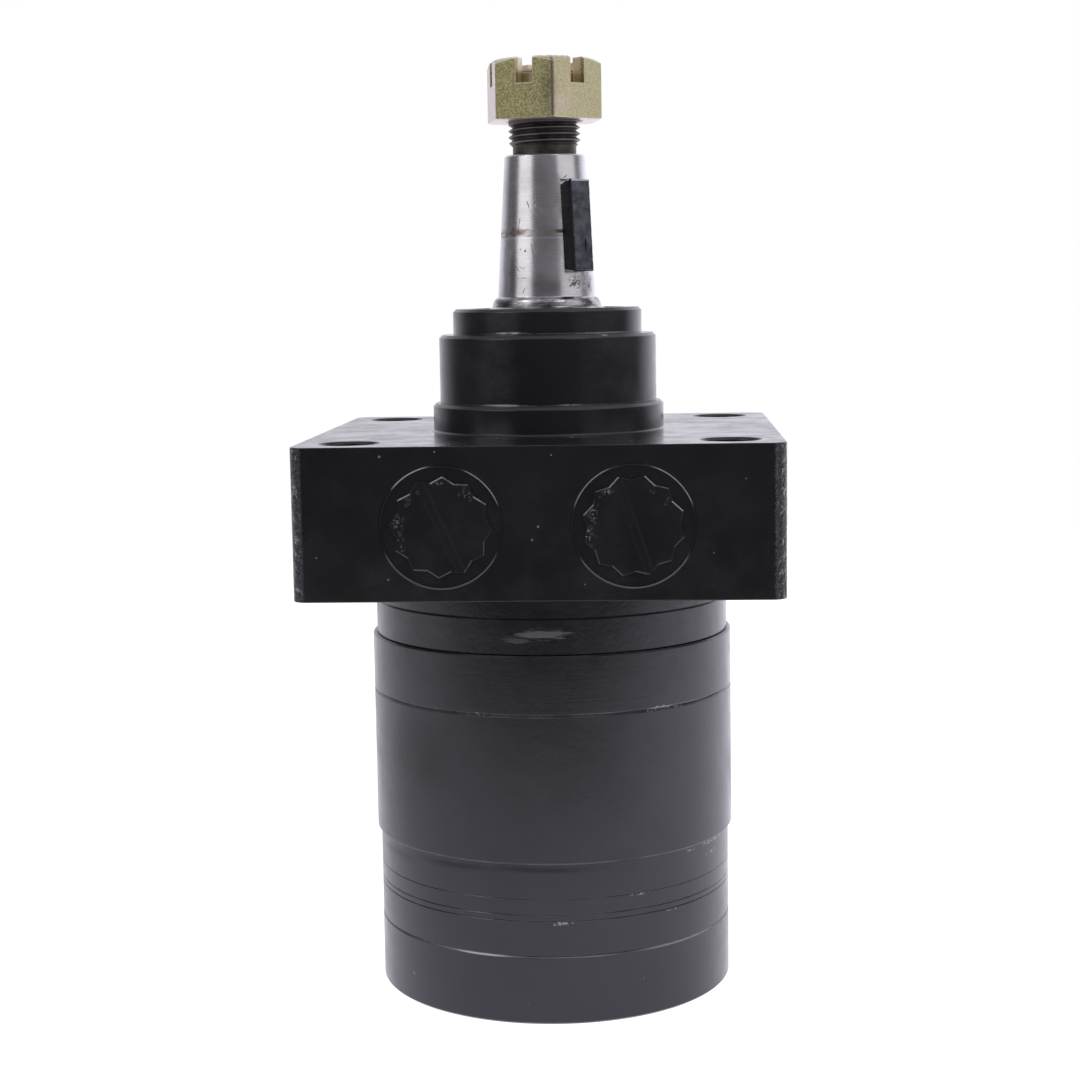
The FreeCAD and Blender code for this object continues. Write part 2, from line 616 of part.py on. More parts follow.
def end_cover():
    """Flat cover with counterbored bolt seats below and the return channel drilled to its centre."""
    cover = disc(COVER_R, 0, END_COVER_TOP, 0.6)
    cover = drill(cover, bolt_places(), BOLT_HOLE_R, -1, END_COVER_TOP + 1)
    cover = drill(cover, bolt_places(), COUNTERBORE_R, -1, BOLT_SEAT)
    x, y = passage_places()[1]
    middle = END_COVER_TOP / 2 + 2
    channel = Part.makeCylinder(2.8, math.hypot(x, y), Vector(x, y, middle), Vector(-x, -y, 0))
    down = cylinder(PASSAGE_R, middle - 4, END_COVER_TOP + 1, x, y)
    centre = cylinder(4.0, middle - 4, END_COVER_TOP + 1)
    return cover.cut([channel, down, centre])


def cover_bolt(x, y):
    """Socket head screw, threaded into the housing."""
    head = cylinder(BOLT_HEAD_R, BOLT_SEAT - BOLT_HEAD_HEIGHT, BOLT_SEAT, x, y)
    rim = [e for e in head.Edges if e.BoundBox.ZMax < BOLT_SEAT - 1 and len(e.Vertexes) == 1]
    head = head.makeChamfer(0.6, rim)
    corners = [(x + a, y + b) for a, b in around(6, BOLT_SOCKET_R, 0)]
    socket = prism(corners, BOLT_SEAT - BOLT_HEAD_HEIGHT - 1, BOLT_SEAT - BOLT_HEAD_HEIGHT + 5)
    shank = cylinder(BOLT_R, BOLT_SEAT - 1, BOLT_TOP, x, y)
    return head.fuse(shank).cut(socket)


# ---- port plugs ----
def plug_point(x, depth):
    return Vector(x, -BLOCK_SIDE / 2 + depth, PORT_Z)


def star_head(x, depth, thickness, turned_by):
    """Drive head of a plug: twelve points with hollows between them."""
    first = 90 - turned_by
    tips = around(PLUG_POINTS, PLUG_HEAD_R, first)
    roots = around(PLUG_POINTS, PLUG_HEAD_ROOT_R, first + 180 / PLUG_POINTS)
    outline = [p for pair in zip(tips, roots) for p in pair]
    corners = [Vector(x + a, -BLOCK_SIDE / 2 + depth, PORT_Z + b) for a, b in outline]
    face = Part.Face(Part.makePolygon(corners + corners[:1]))
    return face.extrude(Vector(0, thickness, 0))


def port_plug(side):
    """Plastic closing plug: star head sunk in the spotface, with a shallow screwdriver slot."""
    x = -PORT_X if side == "left" else PORT_X
    inward = Vector(0, 1, 0)
    sunk = 0.2
    head = star_head(x, sunk, SPOTFACE_DEPTH - sunk, PLUG_TURNS[side])
    body = Part.makeCylinder(PORT_R - 0.1, PLUG_LENGTH, plug_point(x, SPOTFACE_DEPTH - 0.5), inward)
    corner = Vector(x - PLUG_SLOT_WIDTH / 2, -BLOCK_SIDE / 2, PORT_Z - PLUG_HEAD_R - 1)
    slot = Part.makeBox(PLUG_SLOT_WIDTH, sunk + PLUG_SLOT_DEPTH, 2 * PLUG_HEAD_R + 2, corner)
    slot.rotate(plug_point(x, 0), Vector(0, 1, 0), -PLUG_TILTS[side])
    hollow = Part.makeCylinder(PORT_R - 2.4, PLUG_LENGTH, plug_point(x, SPOTFACE_DEPTH + 1.2), inward)
    return head.fuse(body).cut([slot, hollow])


def plug_seal(x):
    """O-ring in the seat of the port, round the plug's body."""
    middle = (PORT_R + PORT_SEAT_R) / 2
    depth = SPOTFACE_DEPTH + PORT_SEAT_DEPTH / 2
    return Part.makeTorus(middle, 1.09, plug_point(x, depth), Vector(0, 1, 0))


# ---- every piece, by the name of its file ----
def pieces():
    parts = {
        "housing": housing(),
        "dust_seal": dust_seal(),
        "front_bush": front_bush(),
        "seal_backup_washer": seal_backup_washer(),
        "shaft_seal": shaft_seal(),
        "thrust_washer_front": thrust_washer_front(),
        "thrust_cage": thrust_cage(),
        "thrust_needles": thrust_needles(),
        "thrust_washer_rear": thrust_washer_rear(),
        "rear_bush": rear_bush(),
        "output_shaft": output_shaft(),
        "shaft_key": shaft_key(),
        "castle_nut": castle_nut(),
        "drive_link": drive_link(),
        "housing_seal": squeezed_seal(WEAR_PLATE_TOP),
        "wear_plate": wear_plate(),
        "wear_plate_seal": squeezed_seal(STATOR_TOP),
        "stator_ring": stator_ring(),
        "rotor": rotor(),
        "manifold_seal": squeezed_seal(MANIFOLD_TOP - SEAL_GROOVE_DEPTH),
        "manifold_plate": manifold_plate(),
        "manifold_channel_plate": manifold_channel_plate(),
        "manifold_valve_plate": manifold_valve_plate(),
        "commutator_ring_seal": squeezed_seal(COMMUTATOR_RING_TOP - SEAL_GROOVE_DEPTH),
        "commutator_ring": commutator_ring(),
        "commutator": commutator(),
        "commutator_seal": commutator_seal(),
        "end_cover_seal": squeezed_seal(END_COVER_TOP),
        "end_cover": end_cover(),
        "cover_bolts": Part.Compound([cover_bolt(x, y) for x, y in bolt_places()]),
        "port_plug_left": port_plug("left"),
        "port_plug_right": port_plug("right"),
        "plug_seal_left": plug_seal(-PORT_X),
        "plug_seal_right": plug_seal(PORT_X),
    }
    for number, (x, y) in enumerate(roller_places(), 1):
        parts[f"roller_{number}"] = roller(x, y)
    return parts


os.makedirs("parts", exist_ok=True)
for name, shape in pieces().items():
    shape.exportStep(f"parts/{name}.step")
    box = shape.BoundBox
    print(f"{name}: {len(shape.Solids)} solid, valid {shape.isValid()}, {shape.Volume / 1000:.1f} cm3,"
          f" z {box.ZMin:.2f} to {box.ZMax:.2f}")
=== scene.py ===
"""Looks of the orbit hydraulic motor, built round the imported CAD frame. Metres, shaft axis along +Z."""

import json
import math
import random

import bmesh
import bpy
from mathutils import Matrix, Vector, noise


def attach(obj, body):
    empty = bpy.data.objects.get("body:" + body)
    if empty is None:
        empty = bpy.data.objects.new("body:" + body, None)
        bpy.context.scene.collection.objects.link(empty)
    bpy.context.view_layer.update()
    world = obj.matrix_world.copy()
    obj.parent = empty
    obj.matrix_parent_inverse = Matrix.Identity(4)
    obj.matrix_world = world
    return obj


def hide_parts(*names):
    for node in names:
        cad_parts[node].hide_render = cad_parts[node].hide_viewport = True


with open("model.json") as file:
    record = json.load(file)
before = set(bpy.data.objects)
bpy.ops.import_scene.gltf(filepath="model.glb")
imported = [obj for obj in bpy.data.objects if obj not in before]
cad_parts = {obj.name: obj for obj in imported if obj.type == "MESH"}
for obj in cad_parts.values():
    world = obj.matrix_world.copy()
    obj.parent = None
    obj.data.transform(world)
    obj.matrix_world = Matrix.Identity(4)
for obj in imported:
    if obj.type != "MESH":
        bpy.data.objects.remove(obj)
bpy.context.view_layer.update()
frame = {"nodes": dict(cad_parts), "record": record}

NODES = frame["nodes"]
MM = 0.001

# sizes shared with the CAD model, in millimetres
BLOCK_FACE = -73.75
PORT_X = 28.6
PORT_Z = 158.3
SPOTFACE_DEPTH = 1.0
SPOTFACE_R = 18.25
STAR_TIP_R = 15.3
STAR_ROOT_R = 13.7
STAR_SUNK = 0.2
SLOT_WIDTH = 1.9
SLOT_DEPTH = 0.10
SLOT_REACH = 16.5
PLUG_BODY_R = 10.1
PLUG_BODY_LENGTH = 14.4
# each plug's middle, the degrees that its star is turned by and the degrees that its slot leans by
STARS = {"left": (-PORT_X, 3.0, 24.3), "right": (PORT_X, 13.0, 18.4)}
KEY_ANGLE = -49.0
# direction of the key's side that is painted darker as painted shade
KEY_PAINTED_DARK_SIDE = (-0.755, -0.656, 0.0)
KEY_LOW = 233.4
KEY_HIGH = 262.7
KEY_HALF = 3.97
KEY_INNER = 11.98
KEY_OUTER = 20.08
KEY_MIDDLE = 16.0
KEY_TOP_CUT = 2.6
KEY_FOOT_CUT = 1.2
TAPER_SLOPE = 1 / 16
NECK_R = 57.9
PLATE_R = 58.1
WEAR_PLATE_R = 59.2
STATOR_R = 59.25
HUB_R = 35.45
HUB_STEP_R = 30.8
TAPER_R = 15.0
NUT_R = 18.5

# how far the shader rounds an edge, in metres
CAST_EDGE = 0.0004
MACHINED_EDGE = 0.00016


# ---------------------------------------------------------------- node helpers
def rgb(red, green, blue):
    return (red, green, blue, 1.0)


class Shader:
    """A material's node tree with short calls for the nodes that the finishes use."""

    def __init__(self, name):
        self.material = bpy.data.materials.new(name)
        self.material.use_nodes = True
        self.tree = self.material.node_tree
        self.tree.nodes.clear()
        self.output = self.tree.nodes.new("ShaderNodeOutputMaterial")
        self.bsdf = self.tree.nodes.new("ShaderNodeBsdfPrincipled")
        self.link(self.bsdf.outputs[0], self.output.inputs["Surface"])
        self.coords = self.tree.nodes.new("ShaderNodeTexCoord").outputs["Object"]
        self.split = self.tree.nodes.new("ShaderNodeSeparateXYZ")
        self.link(self.coords, self.split.inputs[0])

    def node(self, kind, **settings):
        made = self.tree.nodes.new(kind)
        for key, value in settings.items():
            setattr(made, key, value)
        return made

    def link(self, source, target):
        self.tree.links.new(source, target)

    def set(self, **values):
        for key, value in values.items():
            self.bsdf.inputs[key.replace("_", " ")].default_value = value

    def feed(self, target, value):
        if hasattr(value, "is_output"):
            self.link(value, target)
        else:
            target.default_value = value

    def scaled(self, x, y, z):
        """Object coordinates stretched along each axis, for grain that runs one way."""
        mapping = self.node("ShaderNodeMapping")
        mapping.inputs["Scale"].default_value = (x, y, z)
        self.link(self.coords, mapping.inputs["Vector"])
        return mapping.outputs[0]

    def noise(self, scale, detail=2.0, rough=0.5, vector=None):
        made = self.node("ShaderNodeTexNoise")
        made.inputs["Scale"].default_value = scale
        made.inputs["Detail"].default_value = detail
        made.inputs["Roughness"].default_value = rough
        self.link(vector or self.coords, made.inputs["Vector"])
        return made.outputs["Fac"]

    def cells(self, scale):
        made = self.node("ShaderNodeTexVoronoi")
        made.inputs["Scale"].default_value = scale
        self.link(self.coords, made.inputs["Vector"])
        return made.outputs["Distance"]

    def remap(self, value, low, high, to_low=0.0, to_high=1.0):
        made = self.node("ShaderNodeMapRange", interpolation_type="SMOOTHSTEP")
        self.link(value, made.inputs["Value"])
        made.inputs["From Min"].default_value = low
        made.inputs["From Max"].default_value = high
        made.inputs["To Min"].default_value = to_low
        made.inputs["To Max"].default_value = to_high
        return made.outputs[0]

    def math(self, operation, a, b=0.0):
        made = self.node("ShaderNodeMath", operation=operation)
        self.feed(made.inputs[0], a)
        self.feed(made.inputs[1], b)
        return made.outputs[0]

    def vector(self, operation, a, b=None):
        made = self.node("ShaderNodeVectorMath", operation=operation)
        self.feed(made.inputs[0], a)
        if b is not None:
            self.feed(made.inputs[1], b)
        return made.outputs["Value" if operation in ("DOT_PRODUCT", "LENGTH") else "Vector"]

    def mix(self, factor, a, b):
        made = self.node("ShaderNodeMix", data_type="RGBA")
        self.feed(made.inputs["Factor"], factor)
        self.feed(made.inputs["A"], a)
        self.feed(made.inputs["B"], b)
        return made.outputs["Result"]

    def bump(self, height, distance, strength=1.0, below=None):
        made = self.node("ShaderNodeBump")
        made.inputs["Distance"].default_value = distance
        made.inputs["Strength"].default_value = strength
        self.link(height, made.inputs["Height"])
        if below is not None:
            self.link(below, made.inputs["Normal"])
        return made.outputs[0]

    def rounded(self, radius):
        """Normal that rounds every edge a little."""
        made = self.node("ShaderNodeBevel", samples=4)
        made.inputs["Radius"].default_value = radius
        return made.outputs[0]

    def edge_mask(self, radius, low, high):
        """1 on edges, 0 elsewhere: how far the rounded normal leans from the true one."""
        shown = self.node("ShaderNodeNewGeometry").outputs["Normal"]
        aligned = self.vector("DOT_PRODUCT", self.rounded(radius), shown)
        return self.remap(self.math("SUBTRACT", 1.0, aligned), low, high)

    def from_axis(self):
        """Distance from the shaft's axis in millimetres."""
        return self.vector("LENGTH", self.vector("MULTIPLY", self.coords, (1000.0, 1000.0, 0.0)))

    # masks drawn on the surface, in millimetres
    def plane(self, across, up):
        """Flat drawing plane from two object axes."""
        joined = self.node("ShaderNodeCombineXYZ")
        self.link(self.math("MULTIPLY", self.split.outputs[across], 1000.0), joined.inputs[0])
        self.link(self.math("MULTIPLY", self.split.outputs[up], 1000.0), joined.inputs[1])
        return joined.outputs[0]

    def unrolled(self, radius):
        """Drawing plane round the shaft axis: angle from -Y towards +X times the radius, and height."""
        joined = self.node("ShaderNodeCombineXYZ")
        front = self.math("MULTIPLY", self.split.outputs["Y"], -1.0)
        angle = self.math("ARCTAN2", self.split.outputs["X"], front)
        self.link(self.math("MULTIPLY", angle, radius), joined.inputs[0])
        self.link(self.math("MULTIPLY", self.split.outputs["Z"], 1000.0), joined.inputs[1])
        return joined.outputs[0]

    def stroke(self, plane, start, end, width):
        """1 along a straight stroke of the drawing plane, fading to 0 at half its width."""
        a, b = Vector((*start, 0)), Vector((*end, 0))
        along = b - a
        from_start = self.vector("SUBTRACT", plane, tuple(a))
        share = self.vector("DOT_PRODUCT", from_start, tuple(along / max(along.length_squared, 1e-6)))
        share = self.math("MINIMUM", self.math("MAXIMUM", share, 0.0), 1.0)
        scale = self.node("ShaderNodeVectorMath", operation="SCALE")
        scale.inputs[0].default_value = tuple(along)
        self.link(share, scale.inputs["Scale"])
        away = self.vector("LENGTH", self.vector("SUBTRACT", from_start, scale.outputs["Vector"]))
        return self.remap(away, width * 0.25, width * 0.5, 1.0, 0.0)

    def blot(self, plane, centre, size, ragged=None, inside=0.55):
        """1 inside an ellipse of the drawing plane, with an edge made ragged by a noise value."""
        offset = self.vector("SUBTRACT", plane, (*centre, 0))
        away = self.vector("LENGTH", self.vector("MULTIPLY", offset, (1 / size[0], 1 / size[1], 0)))
        if ragged is not None:
            away = self.math("ADD", away, self.math("MULTIPLY", self.math("SUBTRACT", ragged, 0.5), 2.4))
        return self.remap(away, inside, 1.05, 1.0, 0.0)

    def arc(self, plane, centre, radius, middle, half, width):
        """1 along an arc of the drawing plane, fading at its edges and ends.

        middle and half are degrees, counted from +across towards +up."""
        offset = self.vector("SUBTRACT", plane, (*centre, 0))
        away = self.math("ABSOLUTE", self.math("SUBTRACT", self.vector("LENGTH", offset), radius))
        line = self.remap(away, width * 0.2, width * 0.5, 1.0, 0.0)
        a = math.radians(middle)
        turn = self.vector("DOT_PRODUCT", self.vector("NORMALIZE", offset), (math.cos(a), math.sin(a), 0))
        low, high = math.cos(math.radians(half + 6)), math.cos(math.radians(half - 6))
        return self.math("MULTIPLY", line, self.remap(turn, low, high))

    def faint(self, mask, share):
        return self.math("MULTIPLY", mask, share)

    def facing(self, direction, low=0.6, high=0.8):
        """1 where the true surface faces a direction of the object, so that the mask turns with it."""
        own = self.node("ShaderNodeVectorTransform", vector_type="NORMAL")
        own.convert_from = "WORLD"
        own.convert_to = "OBJECT"
        self.link(self.node("ShaderNodeNewGeometry").outputs["True Normal"], own.inputs[0])
        aligned = self.vector("DOT_PRODUCT", own.outputs[0], tuple(Vector(direction).normalized()))
        return self.remap(aligned, low, high)

    def any_of(self, masks):
        total = masks[0]
        for mask in masks[1:]:
            total = self.math("MAXIMUM", total, mask)
        return total

    def base(self, colour):
        self.feed(self.bsdf.inputs["Base Color"], colour)

    def roughness(self, value):
        self.feed(self.bsdf.inputs["Roughness"], value)

    def normal(self, value):
        self.link(value, self.bsdf.inputs["Normal"])


# ---------------------------------------------------------------- finishes
def chamfer_highlight(s):
    """1 on chamfers, fading off in places: a painted highlight lies along them."""
    slope = s.node("ShaderNodeSeparateXYZ")
    s.link(s.node("ShaderNodeNewGeometry").outputs["True Normal"], slope.inputs[0])
    steep = s.math("ABSOLUTE", slope.outputs["Z"])
    chamfer = s.math("MULTIPLY", s.remap(steep, 0.25, 0.45), s.remap(steep, 0.85, 0.95, 1.0, 0.0))
    return s.math("MULTIPLY", chamfer, s.remap(s.noise(55, 3), 0.35, 0.60, 0.35, 1.0))


def pebbles(s, skin):
    """Height of as-cast skin, pebbled where skin is 1."""
    grain = s.noise(1.0, 3, 0.6, s.scaled(680, 680, 600))
    return s.math("MULTIPLY", s.remap(grain, 0.32, 0.68), skin)


def corner_glints(s, skin):
    """Painted highlights on as-cast skin: bright specks, many on the two front corners and few elsewhere."""
    corner = s.remap(s.split.outputs["Y"], -0.0700, -0.0640, 0.75, 0.05)
    sparks = s.remap(s.noise(1.0, 2, 0.5, s.scaled(900, 900, 520)), 0.57, 0.64)
    full_skin = s.math("MULTIPLY", skin, skin)
    return s.math("MULTIPLY", sparks, s.math("MULTIPLY", full_skin, corner))


def black_enamel(name, turned=0.0, marks=None, cast=None, dulled=None, least_gloss=0.22,
                 edge_radius=CAST_EDGE, edge_highlight_share=0.35):
    """Semi-gloss black enamel: orange peel, dust nibs and scuffs, over turned or as-cast metal, with painted
    highlights on its edges and, on turned plates, on its chamfers.

    marks(shader) returns a mask of rubbed or chipped places and of painted highlights, all painted pale,
    cast(shader) one of as-cast skin and dusty(shader) one of dull places, where the gloss falls to
    least_gloss; some of them are painted shade."""
    s = Shader(name)
    s.set(Metallic=0.0, IOR=1.56)
    s.bsdf.inputs["Specular Tint"].default_value = rgb(0.95, 0.93, 1.0)
    nibs = s.remap(s.cells(360), 0.0, 0.05, 1.0, 0.0)
    nibs = s.math("MULTIPLY", nibs, s.remap(s.noise(60, 2), 0.60, 0.68))
    broad = s.remap(s.noise(26, 3, 0.6), 0.35, 0.7)
    tone = s.mix(broad, rgb(0.0060, 0.0058, 0.0062), rgb(0.0095, 0.0090, 0.0096))
    # painted highlight: the rounded edges are painted lighter
    edge = s.edge_mask(edge_radius + 0.0001, 0.10, 0.30)
    tone = s.mix(s.math("MULTIPLY", edge, edge_highlight_share), tone, rgb(0.060, 0.058, 0.061))
    tone = s.mix(s.math("MULTIPLY", nibs, 0.45), tone, rgb(0.12, 0.115, 0.12))
    # painted highlight along the chamfers
    if edge_highlight_share > 0.5:
        tone = s.mix(chamfer_highlight(s), tone, rgb(0.085, 0.082, 0.087))
    rough = s.remap(s.noise(80, 4, 0.65), 0.3, 0.75, 0.17, 0.29)
    under = s.bump(s.noise(38, 2), 0.0009, 0.24, s.rounded(edge_radius))
    under = s.bump(s.noise(620, 2), 0.00006, 0.45, under)
    under = s.bump(nibs, 0.00012, 0.8, under)
    if turned:
        under = s.bump(s.noise(1.0, 3, 0.6, s.scaled(14, 14, 1700)), 0.00003, turned, under)
    if cast:
        skin = cast(s)
        under = s.bump(pebbles(s, skin), 0.0015, 1.0, under)
        # painted highlights: bright glints on the as-cast skin
        tone = s.mix(corner_glints(s, skin), tone, rgb(0.38, 0.37, 0.39))
    if marks:
        # rubbed or chipped places and painted highlights, painted pale
        marks_and_highlights = marks(s)
        tone = s.mix(marks_and_highlights, tone, rgb(0.58, 0.57, 0.59))
        rough = s.math("ADD", rough, s.math("MULTIPLY", marks_and_highlights, 0.25))
        under = s.bump(s.math("MULTIPLY", s.noise(1500, 3), marks_and_highlights), 0.0002, 0.9, under)
    # dull places, some of them painted shade: the gloss is lowered there
    if dulled:
        dull = dulled(s)
        s.feed(s.bsdf.inputs["Specular IOR Level"], s.remap(dull, 0.0, 1.0, 0.5, least_gloss))
        rough = s.math("ADD", rough, s.math("MULTIPLY", dull, 0.2))
    s.base(tone)
    s.roughness(rough)
    s.normal(under)
    return s.material


def on_ring(radius, degrees, height):
    return (math.radians(degrees) * radius, height)


# dots of dust under the paint of the port face: (x, z, width) in millimetres
FACE_DOTS = [(-46.4, 179.5, 0.9), (0.3, 158.3, 0.8), (-1.5, 154.4, 0.7), (-30.0, 180.8, 0.6)]
FACE_DOTS += [(4.5, 179.5, 0.5), (-44.6, 142.8, 0.6), (52.0, 150.2, 0.4), (-66.0, 149.5, 0.5)]
FACE_DOTS += [(61.5, 172.0, 0.4), (14.0, 141.0, 0.4)]
# pin-holes in the deck's paint: (x, y, width)
DECK_PITS = [(-51.7, 21.4, 1.0), (-45.7, -31.8, 1.3), (-26.5, -64.1, 0.8), (-48.7, 10.7, 0.9)]
DECK_PITS += [(9.0, -40.8, 1.5), (27.8, -60.5, 1.0), (15.9, -62.7, 0.7), (-60.1, -11.0, 0.8)]
DECK_PITS += [(48.0, 12.0, 0.7), (55.0, -20.0, 0.8)]
# painted highlights at the feet of the hub's steps: (radius, from degrees, to degrees, z, width, strength)
HUB_STEP_HIGHLIGHTS = [(HUB_STEP_R, -31, -7, 214.3, 0.9, 0.95), (HUB_STEP_R, 10, 72, 214.0, 0.7, 0.42)]
HUB_STEP_HIGHLIGHTS += [(HUB_R, -35, -5, 191.9, 0.8, 0.65), (HUB_STEP_R, -60, 90, 214.1, 0.5, 0.14)]
HUB_STEP_HIGHLIGHTS += [(HUB_R, -70, 70, 191.8, 0.5, 0.10), (HUB_R, 5, 23, 191.9, 0.7, 0.42)]
HUB_STEP_HIGHLIGHTS += [(HUB_R, 46, 80, 191.9, 0.5, 0.2), (HUB_R, 120, 240, 191.9, 0.6, 0.3)]
# painted highlights on lengths of the spotfaces' rims: (middle, half, strength) in degrees from +X towards +Z
RIM_HIGHLIGHTS = {
    -PORT_X: ((121, 17, 0.6), (44, 20, 0.42), (268, 62, 0.16)),
    PORT_X: ((137, 22, 0.36), (46, 24, 0.42), (272, 58, 0.2)),
}
# lengths of the same rims drowned in paint: (middle, half, strength)
DROWNED_RIMS = {
    -PORT_X: ((176, 36, 1.0), (4, 30, 1.0), (84, 12, 1.0), (268, 54, 0.45)),
    PORT_X: ((180, 30, 1.0), (2, 34, 1.0), (92, 12, 1.0), (272, 52, 0.4)),
}


def neck_smear(s):
    """Rubbed double stroke on the neck."""
    neck = s.unrolled(NECK_R)
    streaks = s.noise(1.0, 3, 0.6, s.scaled(130, 130, 1500))
    upper = s.blot(neck, on_ring(NECK_R, -0.3, 123.4), (8.6, 1.55), streaks)
    lower = s.blot(neck, on_ring(NECK_R, -7.6, 121.3), (4.0, 1.15), streaks)
    smear = s.math("MAXIMUM", s.faint(upper, 0.19), s.faint(lower, 0.10))
    above_seam = s.remap(s.split.outputs["Z"], 0.1195, 0.1200)
    return s.math("MULTIPLY", smear, above_seam)


def hub_step_highlights(s, deck):
    """Painted highlights at the feet of the hub's steps and on the deck in front of it."""
    highlight_lines = []
    for radius, start, end, z, width, share in HUB_STEP_HIGHLIGHTS:
        half = math.radians(end - start) * radius / 2
        middle = on_ring(radius, (start + end) / 2, z)
        highlight_lines.append(s.faint(s.blot(s.unrolled(radius), middle, (half, width / 2), None, 0.3), share))
    highlight_lines.append(s.faint(s.stroke(deck, (-17.5, -40.9), (-6.5, -43.6), 1.4), 0.12))
    highlight_lines.append(s.faint(s.stroke(deck, (7.0, -43.2), (13.0, -42.0), 1.2), 0.07))
    return s.math("MULTIPLY", s.any_of(highlight_lines), s.remap(s.noise(320, 2), 0.30, 0.50, 0.35, 1.0))


def housing_marks(s):
    """Smear on the neck, dots and pin-holes on the block, a chip on the hub, and painted highlights on the
    spotfaces' rims, at the hub's steps and on the deck.
    """
    front = s.plane("X", "Z")
    deck = s.plane("X", "Y")
    depth = s.split.outputs["Y"]
    face = BLOCK_FACE * MM
    dots = s.any_of([s.stroke(front, (x, z), (x + 0.1, z + 0.1), w) for x, z, w in FACE_DOTS])
    dots = s.math("MULTIPLY", dots, s.remap(depth, face, face + 0.0004, 0.28, 0.0))
    # painted highlights along the spotfaces' rims
    rims = []
    for x, places in RIM_HIGHLIGHTS.items():
        for middle, half, share in places:
            rims.append(s.faint(s.arc(front, (x, PORT_Z), SPOTFACE_R + 0.1, middle, half, 0.6), share))
    rims = s.math("MULTIPLY", s.any_of(rims), s.remap(depth, face + 0.0004, face + 0.0008, 1.0, 0.0))
    height = s.split.outputs["Z"]
    holes = s.any_of([s.stroke(deck, (x, y), (x + 0.3, y + 0.1), w) for x, y, w in DECK_PITS])
    level = s.math("MULTIPLY", s.remap(height, 0.1818, 0.1822), s.remap(height, 0.1826, 0.1830, 1.0, 0.0))
    holes = s.faint(s.math("MULTIPLY", holes, level), 0.4)
    chip_ends = on_ring(HUB_R, 33.0, 213.4), on_ring(HUB_R, 35.5, 213.4)
    chip = s.faint(s.stroke(s.unrolled(HUB_R), *chip_ends, 0.9), 0.25)
    return s.any_of([neck_smear(s), dots, holes, chip, rims, hub_step_highlights(s, deck)])


def drowned_rims(s):
    """Lengths of the two spotfaces' rims where thick paint has drowned the edge."""
    front = s.plane("X", "Z")
    lengths = []
    for x, places in DROWNED_RIMS.items():
        for middle, half, share in places:
            rim = s.arc(front, (x, PORT_Z), SPOTFACE_R + 0.25, middle, half, 0.9)
            lengths.append(s.faint(rim, share))
    port_side = s.remap(s.split.outputs["Y"], -0.0715, -0.0705, 1.0, 0.0)
    return s.math("MULTIPLY", s.any_of(lengths), port_side)


def housing_cast(s):
    """As-cast skin on the block's sides, back and corners; a trace of it on the neck."""
    height = s.split.outputs["Z"]
    side = s.remap(s.math("ABSOLUTE", s.split.outputs["X"]), 0.0694, 0.0724)
    back = s.remap(s.split.outputs["Y"], 0.0694, 0.0724)
    block = s.math("MULTIPLY", s.remap(height, 0.1355, 0.1362), s.remap(height, 0.1818, 0.1823, 1.0, 0.0))
    neck = s.remap(height, 0.1352, 0.1358, 0.007, 0.0)
    return s.math("MAXIMUM", s.math("MULTIPLY", s.math("MAXIMUM", side, back), block), neck)


def ring_marks(radius, fleck_highlights, strength=0.4, highlight_lines=()):
    """Maker of a mask round a ring: broken bits of rough paint along strokes, painted pale as highlights, and
    slender painted highlights.

    A fleck is (degrees, z), (degrees, z), width; a highlight line is from degrees, to degrees, z, width,
    strength."""
    def marks(s):
        plane = s.unrolled(radius)
        drawn = [s.stroke(plane, on_ring(radius, *a), on_ring(radius, *b), w) for a, b, w in fleck_highlights]
        broken = s.remap(s.noise(700, 3), 0.50, 0.62, 0.0, strength)
        whole = []
        for start, end, z, w, share in highlight_lines:
            half = math.radians(end - start) * radius / 2
            middle = on_ring(radius, (start + end) / 2, z)
            whole.append(s.faint(s.blot(plane, middle, (half, w / 2), None, 0.3), share))
        return s.any_of([s.math("MULTIPLY", s.any_of(drawn), broken), *whole])
    return marks


# rough paint on the joints, painted pale as highlights, and painted highlight lines along them
WEAR_PLATE_FLECK_HIGHLIGHTS = [((36, 98.9), (44, 98.9), 0.8), ((-22, 98.6), (-15, 98.6), 0.6)]
WEAR_PLATE_HIGHLIGHTS = [(31.5, 45, 98.45, 0.9, 0.6), (40, 64, 98.5, 0.7, 0.35), (4, 32, 98.45, 0.6, 0.12)]
WEAR_PLATE_HIGHLIGHTS += [(-70, -28, 98.45, 0.6, 0.08), (105, 155, 98.5, 0.9, 0.4)]
COVER_FLECK_HIGHLIGHTS = [((-50, 10.0), (-49, 9.5), 0.8), ((30, 12.2), (31, 12.4), 0.7), ((-6, 6.0), (-5.6, 6.3), 0.6)]
COVER_HIGHLIGHTS = [(-34, -8, 21.65, 1.0, 1.0), (-50, 4, 21.65, 0.7, 0.3), (-14, 34, 21.65, 0.6, 0.14)]
COVER_HIGHLIGHTS += [(22, 74, 21.62, 0.8, 0.55), (40, 66, 21.6, 0.7, 0.5), (150, 200, 21.6, 0.9, 0.5)]
STATOR_FLECK_HIGHLIGHTS = [((33, 97.9), (46, 97.9), 0.9), ((-24, 97.9), (-15, 97.9), 0.6)]
MANIFOLD_FLECK_HIGHLIGHTS = [((50, 50.4), (72, 50.6), 1.6), ((57, 46.5), (66, 47.2), 1.2)]
CHANNEL_FLECK_HIGHLIGHTS = [((-32, 39.8), (-29, 39.8), 0.7), ((25, 39.8), (32, 39.8), 0.8)]
RING_FLECK_HIGHLIGHTS = [((2.0, 32.5), (7.8, 32.3), 1.5), ((40, 32.6), (44, 32.6), 0.6)]


